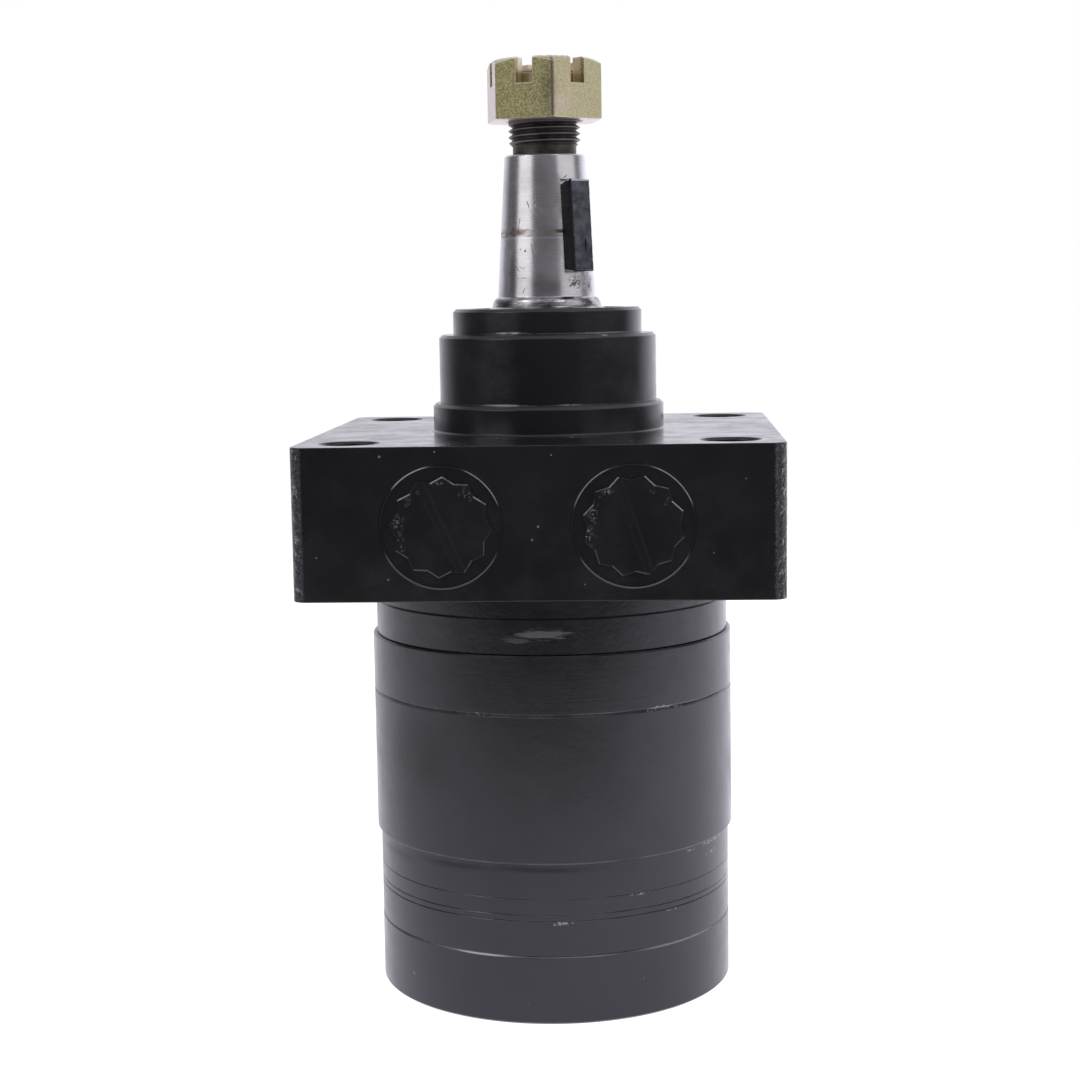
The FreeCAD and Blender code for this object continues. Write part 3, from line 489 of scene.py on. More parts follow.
# painted shade below the stator, and dull patches on it: (degrees, z, half width, half height, strength)
LEDGE_SHADE = [(-58, 47.6, 17, 2.8), (-30, 49.0, 22, 2.2), (0, 49.6, 26, 1.8), (150, 48.0, 30, 2.6)]
STATOR_DULL_PATCHES = [(-44, 82, 22, 20, 0.42), (-47, 72, 12, 24, 0.25), (14, 86, 16, 30, 0.16)]
STATOR_DULL_PATCHES += [(95, 76, 24, 22, 0.3), (170, 80, 30, 20, 0.4)]


def under_ledge_shade(s):
    """Painted shade on the manifold below the stator's overhang, as paint of lowered gloss, thickest to the
    left of the front.
    """
    plane = s.unrolled(PLATE_R)
    streaky = s.remap(s.noise(1.0, 3, 0.6, s.scaled(40, 40, 700)), 0.25, 0.65, 0.45, 1.0)
    painted_shade = [s.blot(plane, on_ring(PLATE_R, a, z), (w, h), None, 0.1) for a, z, w, h in LEDGE_SHADE]
    return s.math("MULTIPLY", s.faint(s.any_of(painted_shade), 0.6), streaky)


def stator_dull_patches(s):
    """Broad dull patches on the stator's side, low at the left and at the back; at the left they are painted
    shade standing in for a dark reflection.
    """
    plane = s.unrolled(STATOR_R)
    patches = []
    for a, z, w, h, share in STATOR_DULL_PATCHES:
        patches.append(s.faint(s.blot(plane, on_ring(STATOR_R, a, z), (w, h), None, 0.2), share))
    return s.any_of(patches)


# fine scratches on the taper: (degrees, z), (degrees, z), width
SCRATCHES = [((-12.0, 256.2), (-8.0, 251.7), 0.26), ((-10.3, 256.9), (-6.8, 252.6), 0.18)]
SCRATCHES += [((-21.8, 255.9), (-18.8, 254.0), 0.34), ((-15.8, 242.5), (-10.7, 236.1), 0.24)]
SCRATCHES += [((-14.0, 241.0), (-10.0, 236.9), 0.18), ((-40.0, 236.4), (-31.9, 233.9), 0.30)]
SCRATCHES += [((-33.1, 231.6), (-18.2, 231.6), 0.20), ((-25.8, 226.8), (-23.2, 228.4), 0.24)]
SCRATCHES += [((-34.7, 246.2), (-31.8, 250.6), 0.3), ((29.7, 263.3), (32.8, 263.8), 0.6)]
SCRATCHES += [((70, 250), (76, 241), 0.3), ((120, 236), (133, 252), 0.3), ((170, 262), (181, 259), 0.4)]
PITTED = [((31, 229.3), (53, 229.8), 1.6), ((-29, 240.6), (-22, 240.2), 1.0)]
PITTED += [((50, 226.9), (72, 229.6), 1.8), ((-30, 235.2), (-24, 234.8), 0.8)]
# scuffs and brown dusk: degrees, z, half width, half height and, for dusk, strength
SCUFFS = [(43, 230.2, 4.6, 2.6), (62, 231.0, 3.2, 3.0), (160, 240, 4, 5)]
DUSK = [(-2, 229.0, 6.5, 6.0, 0.5), (9, 228.5, 5.5, 5.0, 0.6), (-40, 232, 2.2, 12, 0.6)]
DUSK += [(-41, 252, 1.8, 10, 0.35), (8, 243.6, 5, 3.2, 0.3), (7, 250, 6.5, 26, 0.22)]
DULL_PATCHES = [(62, 229.6, 3.8, 2.6), (-52, 240.0, 2.4, 12.0), (150, 236.0, 5.0, 6.0)]
DULL_PATCHES += [(8, 252.0, 5.0, 2.4), (100, 258.0, 7.0, 2.0)]


def scratches_and_pits(s):
    """Mask on the taper: fine scratches, pits, and scuffs below the key."""
    cone = s.unrolled(TAPER_R)
    def strokes(lines):
        return s.any_of([s.stroke(cone, on_ring(TAPER_R, *a), on_ring(TAPER_R, *b), w) for a, b, w in lines])
    ragged = s.noise(700, 3)
    scratches = s.math("MULTIPLY", strokes(SCRATCHES), s.remap(ragged, 0.36, 0.56, 0.15, 0.8))
    pits = s.math("MULTIPLY", strokes(PITTED), s.remap(ragged, 0.54, 0.60))
    scuffs = [s.blot(cone, on_ring(TAPER_R, a, z), (w, h), None, 0.3) for a, z, w, h in SCUFFS]
    fine = s.remap(s.noise(1300, 3, 0.6), 0.50, 0.60, 0.0, 0.85)
    pits = s.math("MAXIMUM", pits, s.math("MULTIPLY", s.any_of(scuffs), fine))
    return s.math("MAXIMUM", scratches, pits)


def shaft_steel():
    """Ground taper, dark thread and relief, and oiled grey steel inside the housing."""
    s = Shader("shaft_finish")
    height = s.split.outputs["Z"]
    cone = s.unrolled(TAPER_R)
    lines = s.noise(1.0, 4, 0.7, s.scaled(25, 25, 3600))
    cloud = s.remap(s.noise(70, 4, 0.6), 0.40, 0.72)
    bright = s.mix(cloud, rgb(0.68, 0.66, 0.685), rgb(0.53, 0.51, 0.53))
    bright = s.mix(s.math("MULTIPLY", lines, 0.10), bright, rgb(0.40, 0.38, 0.395))
    ragged = s.noise(260, 3)
    dull = s.any_of([s.blot(cone, on_ring(TAPER_R, a, z), (w, h), ragged) for a, z, w, h in DULL_PATCHES])
    bright = s.mix(s.math("MULTIPLY", dull, 0.30), bright, rgb(0.24, 0.22, 0.23))
    dusk = []
    for a, z, w, h, share in DUSK:
        dusk.append(s.faint(s.blot(cone, on_ring(TAPER_R, a, z), (w, h), None, 0.1), share))
    dusk = s.any_of(dusk)
    bright = s.mix(dusk, bright, rgb(0.22, 0.16, 0.165))
    wavy = s.math("ADD", height, s.math("MULTIPLY", s.noise(60, 2), 0.0012))
    band = s.math("MULTIPLY", s.remap(wavy, 0.2440, 0.2462), s.remap(wavy, 0.2466, 0.2488, 1.0, 0.0))
    broken = s.remap(s.noise(1.0, 4, 0.65, s.scaled(210, 210, 900)), 0.38, 0.62, 0.05, 0.72)
    rust = s.math("MULTIPLY", band, broken)
    stain = s.blot(cone, on_ring(TAPER_R, -38, 246.2), (4.2, 1.5), ragged)
    smeared = s.noise(1.0, 3, 0.6, s.scaled(120, 120, 900))
    smut = s.blot(cone, on_ring(TAPER_R, 22, 246.3), (3.6, 0.8), smeared, 0.2)
    bright = s.mix(rust, bright, rgb(0.25, 0.19, 0.145))
    bright = s.mix(s.math("MULTIPLY", stain, 0.6), bright, rgb(0.20, 0.125, 0.085))
    bright = s.mix(s.math("MULTIPLY", smut, 0.8), bright, rgb(0.06, 0.056, 0.055))
    clean = s.math("MULTIPLY", s.remap(height, 0.2438, 0.2441), s.remap(height, 0.2444, 0.2447, 1.0, 0.0))
    bright = s.mix(s.math("MULTIPLY", clean, 0.45), bright, rgb(0.82, 0.80, 0.82))
    marks = scratches_and_pits(s)
    bright = s.mix(s.math("MULTIPLY", marks, 0.8), bright, rgb(0.06, 0.055, 0.058))
    foot = s.remap(height, 0.22510, 0.22535, 1.0, 0.0)
    blotched = s.remap(s.noise(1.0, 4, 0.65, s.scaled(170, 170, 420)), 0.38, 0.60, 0.25, 0.95)
    bright = s.mix(s.math("MULTIPLY", foot, blotched), bright, rgb(0.12, 0.115, 0.125))

    crest = s.math("MULTIPLY", s.remap(s.from_axis(), 11.25, 11.55), s.remap(height, 0.2722, 0.2732))
    soot = s.mix(s.remap(s.noise(240, 3), 0.35, 0.65), rgb(0.050, 0.045, 0.042), rgb(0.095, 0.085, 0.078))
    soot = s.mix(s.math("MULTIPLY", crest, 0.7), soot, rgb(0.26, 0.24, 0.22))
    soot = s.mix(s.remap(height, 0.2880, 0.2900), soot, rgb(0.50, 0.41, 0.29))
    above = s.remap(height, 0.27070, 0.27080)
    s.base(s.mix(above, bright, soot))
    smooth = s.remap(lines, 0.3, 0.7, 0.22, 0.28)
    rougher = s.any_of([marks, rust, s.math("MULTIPLY", dull, 0.5)])
    smooth = s.math("ADD", smooth, s.math("MULTIPLY", rougher, 0.25))
    s.roughness(s.math("ADD", smooth, s.math("MULTIPLY", above, 0.18)))
    s.feed(s.bsdf.inputs["Metallic"], s.remap(above, 0.0, 1.0, 1.0, 0.7))
    under = s.bump(lines, 0.000012, 0.13, s.rounded(0.0002))
    s.normal(s.bump(marks, 0.00008, 1.0, under))
    return s.material


def key_steel():
    """Black oxide, blue-grey and mottled, with scuffs on the edges and dark nicks; painted shade darkens its
    left side and a painted highlight lightens its top end.
    """
    s = Shader("key_finish")
    s.set(Metallic=0.75)
    mottled = s.remap(s.noise(260, 4, 0.6), 0.38, 0.66)
    tone = s.mix(mottled, rgb(0.050, 0.053, 0.064), rgb(0.105, 0.110, 0.130))
    # painted shade: the key's left side is painted darker
    tone = s.mix(s.facing(KEY_PAINTED_DARK_SIDE, 0.45, 0.75), tone, rgb(0.017, 0.017, 0.020))
    edge = s.math("MULTIPLY", s.edge_mask(0.0006, 0.02, 0.16), s.remap(s.noise(500, 2), 0.4, 0.6, 0.15, 0.7))
    tone = s.mix(edge, tone, rgb(0.30, 0.31, 0.34))
    # painted highlight along the key's top end
    top = s.remap(s.split.outputs["Z"], 0.26185, 0.2621)
    top_highlight = s.math("MULTIPLY", top, s.remap(s.noise(500, 2), 0.30, 0.5, 0.4, 0.9))
    tone = s.mix(top_highlight, tone, rgb(0.62, 0.62, 0.66))
    nicks = s.remap(s.noise(1.0, 2, 0.5, s.scaled(420, 420, 130)), 0.66, 0.72)
    s.base(s.mix(nicks, tone, rgb(0.006, 0.006, 0.007)))
    s.roughness(s.remap(s.noise(600, 3), 0.3, 0.7, 0.26, 0.42))
    s.normal(s.bump(s.noise(900, 4), 0.00010, 0.4))
    return s.material


def outwards(degrees):
    """Level direction at an angle from -Y towards +X."""
    return (math.sin(math.radians(degrees)), -math.cos(math.radians(degrees)), 0.0)


# pink bloom on the zinc: (degrees, z, half width, half height)
PINK_PATCHES = ((21.0, 286.0, 5.4, 6.6), (205, 290, 6, 6), (130, 288, 5, 5))


def yellow_zinc():
    """Grainy yellow zinc plating: olive gold flecked with pale grains, pink near the front corner; painted
    shade and highlights on its faces, front corner, top and edges, painted light inside its slots and a
    painted reflection below and on its left face.
    """
    s = Shader("yellow_zinc_finish")
    s.set(Metallic=0.9, Coat_Weight=0.5, Coat_Roughness=0.3, Coat_IOR=1.5)
    s.bsdf.inputs["Coat Tint"].default_value = rgb(1.0, 0.97, 0.98)
    ring = s.unrolled(NUT_R)
    height = s.split.outputs["Z"]
    grain = s.noise(2100, 3, 0.7)
    streak = s.noise(1.0, 3, 0.6, s.scaled(1100, 1100, 90))
    tone = s.mix(s.remap(grain, 0.38, 0.60), rgb(0.215, 0.200, 0.065), rgb(0.60, 0.57, 0.28))
    tone = s.mix(s.remap(streak, 0.56, 0.72, 0.0, 0.35), tone, rgb(0.74, 0.71, 0.46))
    russet = s.math("MULTIPLY", s.remap(s.noise(150, 2), 0.45, 0.62), s.remap(grain, 0.42, 0.56, 0.7, 0.1))
    tone = s.mix(russet, tone, rgb(0.34, 0.20, 0.10))
    # lit and shaded faces: one face painted darker as painted shade, another painted paler as painted
    # highlight
    painted_shade_face = s.facing(outwards(-18), 0.90, 0.97)
    painted_lit_face = s.facing(outwards(42), 0.90, 0.97)
    tone = s.mix(s.faint(painted_shade_face, 0.30), tone, rgb(0.13, 0.115, 0.04))
    tone = s.mix(s.faint(painted_lit_face, 0.42), tone, rgb(0.93, 0.86, 0.60))
    dither = s.remap(s.noise(900, 3, 0.65), 0.40, 0.60)
    pink = s.any_of([s.blot(ring, on_ring(NUT_R, a, z), (w, h), None, 0.0) for a, z, w, h in PINK_PATCHES])
    tone = s.mix(s.math("MULTIPLY", pink, dither), tone, rgb(0.80, 0.64, 0.60))
    # painted shade along the nut's front corner, spreading brown to its left
    brown = s.blot(ring, on_ring(NUT_R, 7.2, 290.5), (3.4, 12.0), None, 0.0)
    brown = s.math("MULTIPLY", brown, s.remap(dither, 0.0, 1.0, 0.35, 0.75))
    corner = s.stroke(ring, on_ring(NUT_R, 11.2, 282.5), on_ring(NUT_R, 11.2, 300.5), 1.2)
    shade = s.math("MAXIMUM", brown, s.faint(corner, 0.9))
    tone = s.mix(shade, tone, rgb(0.10, 0.075, 0.05))
    # painted light on the walls inside the slots, which lie in shade
    painted_slot_light = s.math("MULTIPLY", s.remap(s.from_axis(), 14.6, 16.4, 0.75, 0.0), s.remap(height, 0.2910, 0.2920))
    tone = s.mix(painted_slot_light, tone, rgb(0.98, 0.88, 0.58))
    # painted highlight on the chamfer at the top
    crown_highlight = s.math("MULTIPLY", s.remap(height, 0.30035, 0.30070), s.remap(dither, 0.0, 0.6, 0.3, 0.8))
    tone = s.mix(crown_highlight, tone, rgb(0.97, 0.93, 0.85))
    # painted reflection: the underside and the face turned left are painted pinkish white
    painted_rosy_reflection = s.any_of([s.facing((0, 0, -1)), s.facing((-0.978, -0.206, 0.0), 0.90, 0.97)])
    tone = s.mix(s.faint(painted_rosy_reflection, 0.8), tone, rgb(0.86, 0.76, 0.77))
    sparkle = s.remap(s.cells(1250), 0.0, 0.20, 1.0, 0.0)
    tone = s.mix(s.math("MULTIPLY", sparkle, 0.55), tone, rgb(0.92, 0.89, 0.66))
    # painted highlight along every edge
    s.base(s.mix(s.faint(s.edge_mask(0.0006, 0.13, 0.22), 0.85), tone, rgb(1.0, 0.97, 0.90)))
    s.roughness(s.remap(s.noise(500, 3), 0.3, 0.7, 0.34, 0.50))
    s.normal(s.bump(grain, 0.0002, 0.6, s.rounded(0.0003)))
    return s.material


def rubber(name):
    s = Shader(name)
    s.base(s.mix(s.noise(300, 3), rgb(0.010, 0.010, 0.010), rgb(0.022, 0.021, 0.021)))
    s.roughness(s.remap(s.noise(500, 3), 0.3, 0.7, 0.5, 0.7))
    s.normal(s.bump(s.noise(900, 2), 0.00008, 0.5))
    return s.material


def plain_metal(name, dark, light, low=0.2, high=0.4, metallic=1.0):
    s = Shader(name)
    s.set(Metallic=metallic)
    s.base(s.mix(s.remap(s.noise(160, 4), 0.35, 0.7), dark, light))
    s.roughness(s.remap(s.noise(1.0, 3, 0.6, s.scaled(60, 60, 1800)), 0.3, 0.7, low, high))
    s.normal(s.bump(s.noise(700, 3), 0.00005, 0.4))
    return s.material


# painted highlights along edges of the plugs' stars: (corner that the edge starts from, strength)
STAR_EDGE_HIGHLIGHTS = {
    "left": [(23, 0.42), (0, 0.30), (1, 0.16), (3, 0.40), (20, 0.42), (7, 0.08),
             (9, 0.1), (11, 0.12), (12, 0.12), (13, 0.14), (15, 0.1)],
    "right": [(0, 0.42), (1, 0.14), (3, 0.46), (20, 0.12), (21, 0.38), (18, 0.30),
              (6, 0.08), (8, 0.08), (10, 0.1), (12, 0.12), (14, 0.1)],
}
# painted highlights on the lumps of paint: (degrees, radius, half width, half height, strength)
STAR_LUMP_GLINTS = {
    "left": [(94, 13.4, 2.4, 1.0, 0.34), (52, 12.6, 2.2, 1.6, 0.20),
             (173, 13.4, 1.2, 3.6, 0.22), (208, 13.0, 1.0, 1.4, 0.18)],
    "right": [(192, 14.0, 1.0, 2.9, 0.70), (163, 12.4, 1.5, 2.6, 0.26), (128, 12.8, 1.8, 1.2, 0.24)],
}


def star_outline(side, inset=0.0):
    """(x, z) corners of a plug's star in millimetres, clockwise from the tip nearest the top."""
    x0, turned_by, _ = STARS[side]
    corners = []
    for k in range(24):
        angle = math.radians(90 - turned_by - 15 * k)
        radius = (STAR_TIP_R if k % 2 == 0 else STAR_ROOT_R) - inset
        corners.append((x0 + radius * math.cos(angle), PORT_Z + radius * math.sin(angle)))
    return corners


def plug_marks(side):
    """Maker of a mask of painted highlights along the star's edges and on its lumps of paint."""
    def marks(s):
        front = s.plane("X", "Z")
        corners = star_outline(side, 0.25)
        edges = []
        for k, share in STAR_EDGE_HIGHLIGHTS[side]:
            edges.append(s.faint(s.stroke(front, corners[k], corners[(k + 1) % 24], 0.5), share))
        edges = s.math("MULTIPLY", s.any_of(edges), s.remap(s.noise(420, 2), 0.30, 0.48, 0.45, 1.0))
        x0 = STARS[side][0]
        specks = []
        for degrees, radius, w, h, share in STAR_LUMP_GLINTS[side]:
            a = math.radians(degrees)
            place = (x0 + radius * math.cos(a), PORT_Z + radius * math.sin(a))
            specks.append(s.faint(s.blot(front, place, (w, h), None, 0.2), share))
        specks = s.math("MULTIPLY", s.any_of(specks), s.remap(s.noise(1100, 2), 0.53, 0.60))
        return s.math("MAXIMUM", edges, specks)
    return marks


def plug_slot_shade(side):
    """Maker of a mask of painted shade in a plug's slot, as paint of lowered gloss."""
    x0, _, lean = STARS[side]
    across, up = 15 * math.sin(math.radians(lean)), 15 * math.cos(math.radians(lean))

    def painted_shade(s):
        slot = s.stroke(s.plane("X", "Z"), (x0 - across, PORT_Z + up), (x0 + across, PORT_Z - up), 3.6)
        return s.faint(slot, 0.75)
    return painted_shade


def machined_enamel(name, turned, marks=None, dulled=None):
    """Enamel on a turned plate: small edges, with a painted highlight along their chamfers."""
    return black_enamel(name, turned, marks, dulled=dulled, edge_radius=MACHINED_EDGE, edge_highlight_share=0.9)


CASTING = black_enamel("enamel_on_casting", marks=housing_marks, cast=housing_cast,
                       dulled=drowned_rims, least_gloss=0.10)
STATOR = machined_enamel("enamel_on_stator", 0.2, ring_marks(STATOR_R, STATOR_FLECK_HIGHLIGHTS), stator_dull_patches)
COVER = machined_enamel("enamel_on_cover", 0.2, ring_marks(PLATE_R, COVER_FLECK_HIGHLIGHTS, 0.4, COVER_HIGHLIGHTS))
WEAR_PLATE = machined_enamel("enamel_on_wear_plate", 0.5,
                             ring_marks(WEAR_PLATE_R, WEAR_PLATE_FLECK_HIGHLIGHTS, 0.4, WEAR_PLATE_HIGHLIGHTS))
MANIFOLD = machined_enamel("enamel_on_manifold", 0.5,
                           ring_marks(PLATE_R, MANIFOLD_FLECK_HIGHLIGHTS, 0.3), under_ledge_shade)
CHANNEL = machined_enamel("enamel_on_channel_plate", 0.4, ring_marks(PLATE_R, CHANNEL_FLECK_HIGHLIGHTS))
RING = machined_enamel("enamel_on_commutator_ring", 0.4, ring_marks(PLATE_R, RING_FLECK_HIGHLIGHTS))
SEAL_PLASTIC = plain_metal("seal_polymer_finish", rgb(0.2, 0.13, 0.07), rgb(0.3, 0.2, 0.12), 0.4, 0.6, 0.0)
IRON = plain_metal("commutator_finish", rgb(0.2, 0.2, 0.21), rgb(0.3, 0.3, 0.31), 0.3, 0.5)
# finishes by the CAD model's material slot, and those of single nodes, which come first
SLOT_FINISHES = {
    "black_paint_casting": CASTING,
    "black_paint_plate": machined_enamel("enamel_on_plate", 0.5),
    "black_paint_stator": STATOR,
    "black_paint_cover": COVER,
    "bolt_steel": plain_metal("bolt_finish", rgb(0.02, 0.02, 0.022), rgb(0.05, 0.05, 0.055), 0.3, 0.5),
    "ground_steel": shaft_steel(),
    "key_steel": key_steel(),
    "yellow_zinc": yellow_zinc(),
    "seal_rubber": rubber("lip_rubber"),
    "o_ring_rubber": rubber("ring_rubber"),
    "seal_polymer": SEAL_PLASTIC,
    "plug_plastic": black_enamel("enamel_on_plug"),
    "bearing_bronze": plain_metal("bronze_finish", rgb(0.42, 0.27, 0.11), rgb(0.55, 0.37, 0.17)),
    "inner_steel": plain_metal("oiled_steel_finish", rgb(0.35, 0.35, 0.36), rgb(0.5, 0.5, 0.51)),
    "cage_steel": plain_metal("cage_finish", rgb(0.36, 0.33, 0.26), rgb(0.5, 0.47, 0.4)),
    "commutator_iron": IRON,
}
NODE_FINISHES = {
    "wear_plate": WEAR_PLATE,
    "manifold_plate": MANIFOLD,
    "manifold_channel_plate": CHANNEL,
    "commutator_ring": RING,
}


def finish_cad_nodes():
    for row in frame["record"]["subparts"]:
        mesh = NODES[row["node"]].data
        mesh.materials.clear()
        mesh.materials.append(NODE_FINISHES.get(row["node"]) or SLOT_FINISHES[row["material_slot"]])


# ---------------------------------------------------------------- pieces rebuilt in finer detail
def new_piece(name, shape, material, body, replaced):
    """Object from a bmesh in millimetres, riding on a body in place of a CAD node."""
    mesh = bpy.data.meshes.new(name)
    bmesh.ops.scale(shape, vec=(MM, MM, MM), verts=shape.verts)
    bmesh.ops.recalc_face_normals(shape, faces=shape.faces)
    shape.to_mesh(mesh)
    shape.free()
    mesh.materials.append(material)
    piece = bpy.data.objects.new(name, mesh)
    bpy.context.scene.collection.objects.link(piece)
    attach(piece, body)
    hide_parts(replaced)
    return piece


def apply_modifiers(shape, steps):
    """Run modifiers on a bmesh: steps is a list of (kind, settings)."""
    mesh = bpy.data.meshes.new("work")
    shape.to_mesh(mesh)
    shape.free()
    work = bpy.data.objects.new("work", mesh)
    bpy.context.scene.collection.objects.link(work)
    for kind, settings in steps:
        modifier = work.modifiers.new(kind, kind)
        for key, value in settings.items():
            setattr(modifier, key, value)
    done = work.evaluated_get(bpy.context.evaluated_depsgraph_get()).to_mesh()
    result = bmesh.new()
    result.from_mesh(done)
    bpy.data.objects.remove(work)
    bpy.data.meshes.remove(mesh)
    return result


def prism_along_y(outline, near, far):
    """Closed prism between two planes of constant Y, from (x, z) points."""
    shape = bmesh.new()
    first = [shape.verts.new((x, near, z)) for x, z in outline]
    last = [shape.verts.new((x, far, z)) for x, z in outline]
    shape.faces.new(first)
    shape.faces.new(list(reversed(last)))
    count = len(outline)
    for i in range(count):
        j = (i + 1) % count
        shape.faces.new((first[i], last[i], last[j], first[j]))
    bmesh.ops.recalc_face_normals(shape, faces=shape.faces)
    return shape


def add_blobs(shape, places, seed):
    """Low lumps of dried paint: squashed spheres at (x, y, z, size), bulging towards -Y."""
    dice = random.Random(seed)
    for x, y, z, size in places:
        made = bmesh.ops.create_icosphere(shape, subdivisions=2, radius=1.0)["verts"]
        stretch = Vector((size * dice.uniform(0.7, 1.3), size * 0.28, size * dice.uniform(0.7, 1.3)))
        for vert in made:
            lump = 1 + 0.25 * noise.noise(vert.co * 2.1 + Vector((x, z, seed)))
            vert.co = Vector((x, y, z)) + Vector(a * b for a, b in zip(vert.co * lump, stretch))


# seeds of the lumps' places and of their shapes
LUMP_SEEDS = {"left": (7, 3), "right": (11, 5)}


def slot_cutter(side, near):
    """Object that cuts the slot across a plug's face."""
    x0, _, lean = STARS[side]
    tilt = math.radians(lean)
    half = SLOT_WIDTH / 2
    outline = []
    for a, b in ((-half, -SLOT_REACH), (half, -SLOT_REACH), (half, SLOT_REACH), (-half, SLOT_REACH)):
        x = x0 + a * math.cos(tilt) - b * math.sin(tilt)
        outline.append((x, PORT_Z + a * math.sin(tilt) + b * math.cos(tilt)))
    shape = prism_along_y(outline, near - 1, near + SLOT_DEPTH)
    mesh = bpy.data.meshes.new("cutter")
    shape.to_mesh(mesh)
    shape.free()
    cutter = bpy.data.objects.new("cutter", mesh)
    bpy.context.scene.collection.objects.link(cutter)
    return cutter


def paint_lumps(side, near):
    """Places and sizes of the lumps of paint: most on the points at the left, some at the top."""
    x0 = STARS[side][0]
    dice = random.Random(LUMP_SEEDS[side][0])
    lumps = []
    for start, end, count in ((163, 204, 15), (118, 150, 6), (30, 75, 5)):
        for _ in range(count):
            angle = math.radians(dice.uniform(start, end))
            radius = dice.uniform(11.2, 14.0)
            x = x0 + radius * math.cos(angle)
            z = PORT_Z + radius * math.sin(angle)
            lumps.append((x, near + 0.04, z, dice.uniform(0.22, 0.5)))
    return lumps


def make_plug(side):
    """Star-headed plug: rounded edges, a slot, lumps of paint and the threaded body behind."""
    near = BLOCK_FACE + STAR_SUNK
    head = prism_along_y(star_outline(side), near, BLOCK_FACE + SPOTFACE_DEPTH - 0.02)
    cutter = slot_cutter(side, near)
    cut = ("BOOLEAN", {"operation": "DIFFERENCE", "object": cutter, "solver": "EXACT"})
    rounding = {"width": 0.28, "segments": 3, "limit_method": "ANGLE", "angle_limit": math.radians(25)}
    head = apply_modifiers(head, [cut, ("BEVEL", rounding)])
    cutter_mesh = cutter.data
    bpy.data.objects.remove(cutter)
    bpy.data.meshes.remove(cutter_mesh)
    middle = Vector((STARS[side][0], BLOCK_FACE + SPOTFACE_DEPTH + 7.0, PORT_Z))
    turn = Matrix.Translation(middle) @ Matrix.Rotation(math.pi / 2, 4, "X")
    bmesh.ops.create_cone(head, cap_ends=True, segments=64, radius1=PLUG_BODY_R, radius2=PLUG_BODY_R,
                          depth=PLUG_BODY_LENGTH, matrix=turn)
    add_blobs(head, paint_lumps(side, near), LUMP_SEEDS[side][1])
    finish = black_enamel("enamel_on_plug_" + side, marks=plug_marks(side),
                          dulled=plug_slot_shade(side), edge_highlight_share=0.12)
    new_piece("plug_" + side, head, finish, "case", "port_plug_" + side)


def key_point(radial, across, z):
    """Point of the key from its radial distance, sideways offset and height, in millimetres."""
    angle = math.radians(KEY_ANGLE)
    r = radial - (z - KEY_LOW) * TAPER_SLOPE
    x = r * math.cos(angle) - across * math.sin(angle)
    y = r * math.sin(angle) + across * math.cos(angle)
    return Vector((x, y, z))


def make_key():
    """Parallel key, slightly bruised all over, its ends cut back towards the shaft."""
    shape = bmesh.new()
    bmesh.ops.create_cube(shape, size=1.0)
    for vert in shape.verts:
        top = vert.co.z > 0
        outer = vert.co.x > 0
        if top:
            z = KEY_HIGH if outer else KEY_HIGH - KEY_TOP_CUT
        else:
            z = KEY_LOW if outer else KEY_LOW + KEY_FOOT_CUT
        vert.co = Vector((KEY_OUTER if outer else KEY_INNER, vert.co.y * 2 * KEY_HALF, z))
    outer_edges = [e for e in shape.edges if all(v.co.x > KEY_MIDDLE for v in e.verts)]
    bmesh.ops.bevel(shape, geom=outer_edges, offset=0.7, segments=2, profile=0.6, affect="EDGES")
    bmesh.ops.recalc_face_normals(shape, faces=shape.faces)
    shape = apply_modifiers(shape, [("REMESH", {"mode": "VOXEL", "voxel_size": 0.28})])
    for vert in shape.verts:
        co = vert.co
        bruise = 0.09 * noise.noise(co * 0.55) + 0.04 * noise.noise(co * 1.7)
        pull = 0.07 + bruise if co.x > KEY_MIDDLE else 0.0
        vert.co = key_point(co.x - pull, co.y * (0.988 - 0.07 * bruise), co.z)
    piece = new_piece("key_bruised", shape, SLOT_FINISHES["key_steel"], "output_shaft", "shaft_key")
    for face in piece.data.polygons:
        face.use_smooth = True


finish_cad_nodes()
make_plug("left")
make_plug("right")
make_key()


# ---------------------------------------------------------------- stage: floor, light, camera
FLOOR_RADIUS = 1.3
CAMERA_AT = Vector((0.03647, -0.67478, 0.22775))
CAMERA_RIGHT = Vector((0.99786, 0.06325, -0.01634))
CAMERA_UP = Vector((0.00845, 0.12305, 0.99236))


def make_camera():
    data = bpy.data.cameras.new("camera")
    data.sensor_width = 36.0
    data.lens = 68.42
    data.shift_x = 0.0116
    data.shift_y = 0.0027
    data.clip_start = 0.05
    camera = bpy.data.objects.new("camera", data)
    bpy.context.scene.collection.objects.link(camera)
    right = CAMERA_RIGHT.normalized()
    up = (CAMERA_UP - right * CAMERA_UP.dot(right)).normalized()
    back = right.cross(up)
    turn = Matrix((right, up, back)).transposed().to_4x4()
    camera.matrix_world = Matrix.Translation(CAMERA_AT) @ turn
    bpy.context.scene.camera = camera


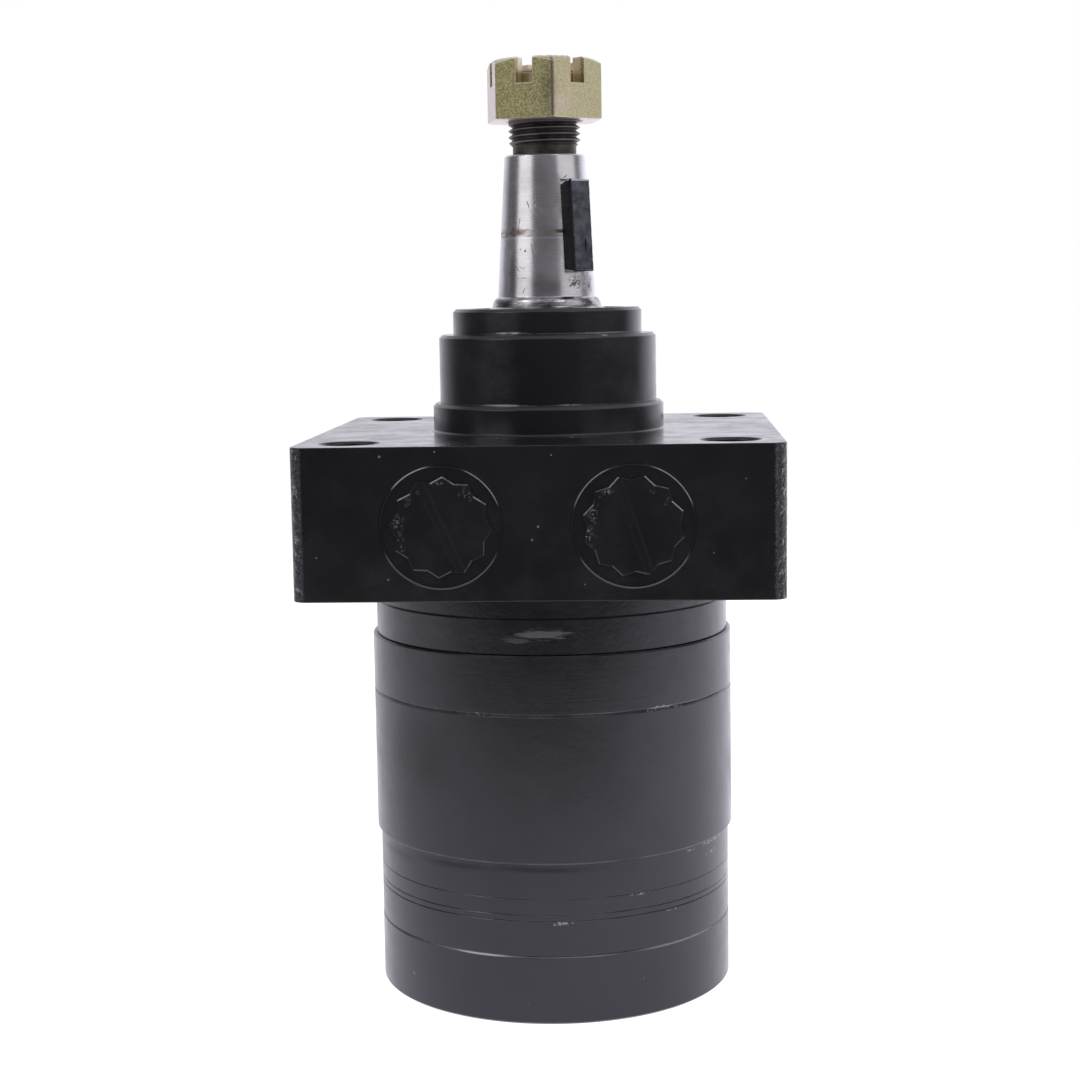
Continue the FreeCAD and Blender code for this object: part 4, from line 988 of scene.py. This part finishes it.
def make_floor():
    """White sweep that glows: seen by the camera it is evenly white, and its glow, painted light that lights
    the motor, is bright under and behind the motor and darker towards the front.
    """
    mesh = bpy.data.meshes.new("floor")
    shape = bmesh.new()
    bmesh.ops.create_circle(shape, cap_ends=True, segments=96, radius=FLOOR_RADIUS)
    shape.to_mesh(mesh)
    shape.free()
    floor = bpy.data.objects.new("floor", mesh)
    floor.location.z = -0.0002
    bpy.context.scene.collection.objects.link(floor)
    s = Shader("glowing_floor")
    fall = s.remap(s.split.outputs["Y"], -0.82, -0.10, 0.02, 1.1)
    fall = s.math("MULTIPLY", fall, s.remap(s.split.outputs["X"], -0.4, 0.4, 0.86, 1.24))
    path = s.node("ShaderNodeLightPath")
    seen = path.outputs["Is Camera Ray"]
    s.base(rgb(0.06, 0.06, 0.06))
    s.roughness(0.9)
    s.feed(s.bsdf.inputs["Emission Color"], s.mix(seen, rgb(0.95, 0.94, 1.04), rgb(1.0, 1.0, 1.0)))
    s.feed(s.bsdf.inputs["Emission Strength"], s.math("MAXIMUM", fall, seen))
    mesh.materials.append(s.material)


def softbox(name, azimuth, distance, height, width, tall, radiance, aim=None):
    """Area light facing the shaft's axis, at its own height or at the height aim.

    azimuth is degrees from -Y towards +X; the other sizes are metres."""
    light = bpy.data.lights.new(name, "AREA")
    light.shape = "RECTANGLE"
    light.size = width
    light.size_y = tall
    light.energy = radiance * math.pi * width * tall
    lamp = bpy.data.objects.new(name, light)
    bpy.context.scene.collection.objects.link(lamp)
    lamp.visible_camera = False
    a = math.radians(azimuth)
    place = Vector((math.sin(a) * distance, -math.cos(a) * distance, height))
    lamp.location = place
    level = Vector((0, 0, height if aim is None else aim))
    lamp.rotation_euler = (level - place).to_track_quat("-Z", "Y").to_euler()


def make_world():
    """White behind and overhead, dim on the side that the camera looks from; the backdrop itself is white."""
    world = bpy.data.worlds.new("studio")
    bpy.context.scene.world = world
    world.use_nodes = True
    tree = world.node_tree
    tree.nodes.clear()

    def node(kind, **settings):
        made = tree.nodes.new(kind)
        for key, value in settings.items():
            setattr(made, key, value)
        return made

    def ramp(value, low, high, to_low, to_high):
        made = node("ShaderNodeMapRange", interpolation_type="SMOOTHSTEP")
        tree.links.new(value, made.inputs["Value"])
        made.inputs["From Min"].default_value = low
        made.inputs["From Max"].default_value = high
        made.inputs["To Min"].default_value = to_low
        made.inputs["To Max"].default_value = to_high
        return made.outputs[0]

    def combine(operation, first, second):
        made = node("ShaderNodeMath", operation=operation)
        tree.links.new(first, made.inputs[0])
        tree.links.new(second, made.inputs[1])
        return made.outputs[0]

    direction = node("ShaderNodeTexCoord")
    split = node("ShaderNodeSeparateXYZ")
    tree.links.new(direction.outputs["Generated"], split.inputs[0])
    behind = ramp(split.outputs["Y"], 0.20, 0.85, 0.0, 1.0)
    above = ramp(split.outputs["Z"], 0.45, 0.9, 0.0, 0.6)
    front = ramp(split.outputs["Z"], -0.10, 0.0, 0.09, 0.165)
    brightest = combine("MAXIMUM", combine("MAXIMUM", behind, above), front)
    sideways = ramp(split.outputs["X"], -0.8, 0.5, 0.86, 1.36)
    brightest = combine("MULTIPLY", brightest, sideways)
    light = node("ShaderNodeBackground")
    light.inputs["Color"].default_value = (0.95, 0.94, 1.03, 1.0)
    tree.links.new(brightest, light.inputs["Strength"])
    backdrop = node("ShaderNodeBackground")
    backdrop.inputs["Color"].default_value = (1, 1, 1, 1)
    path = node("ShaderNodeLightPath")
    blend = node("ShaderNodeMixShader")
    tree.links.new(path.outputs["Is Camera Ray"], blend.inputs[0])
    tree.links.new(light.outputs[0], blend.inputs[1])
    tree.links.new(backdrop.outputs[0], blend.inputs[2])
    output = node("ShaderNodeOutputWorld")
    tree.links.new(blend.outputs[0], output.inputs[0])


# softboxes: azimuth, distance, height, width, tall, radiance and, for the high ones, aim
SOFTBOXES = {
    "softbox_left": (-54, 1.3, 0.82, 0.98, 1.1, 1.22),
    "softbox_right": (66, 1.3, 0.82, 1.42, 1.1, 0.68),
    "high_left": (-62, 0.95, 1.30, 0.40, 0.40, 5.5, 0.2),
    "high_right": (40, 0.95, 1.30, 0.40, 0.40, 5.0, 0.2),
}

make_camera()
make_floor()
make_world()
for box_name, box in SOFTBOXES.items():
    softbox(box_name, *box)
bpy.context.scene.view_settings.view_transform = "Standard"
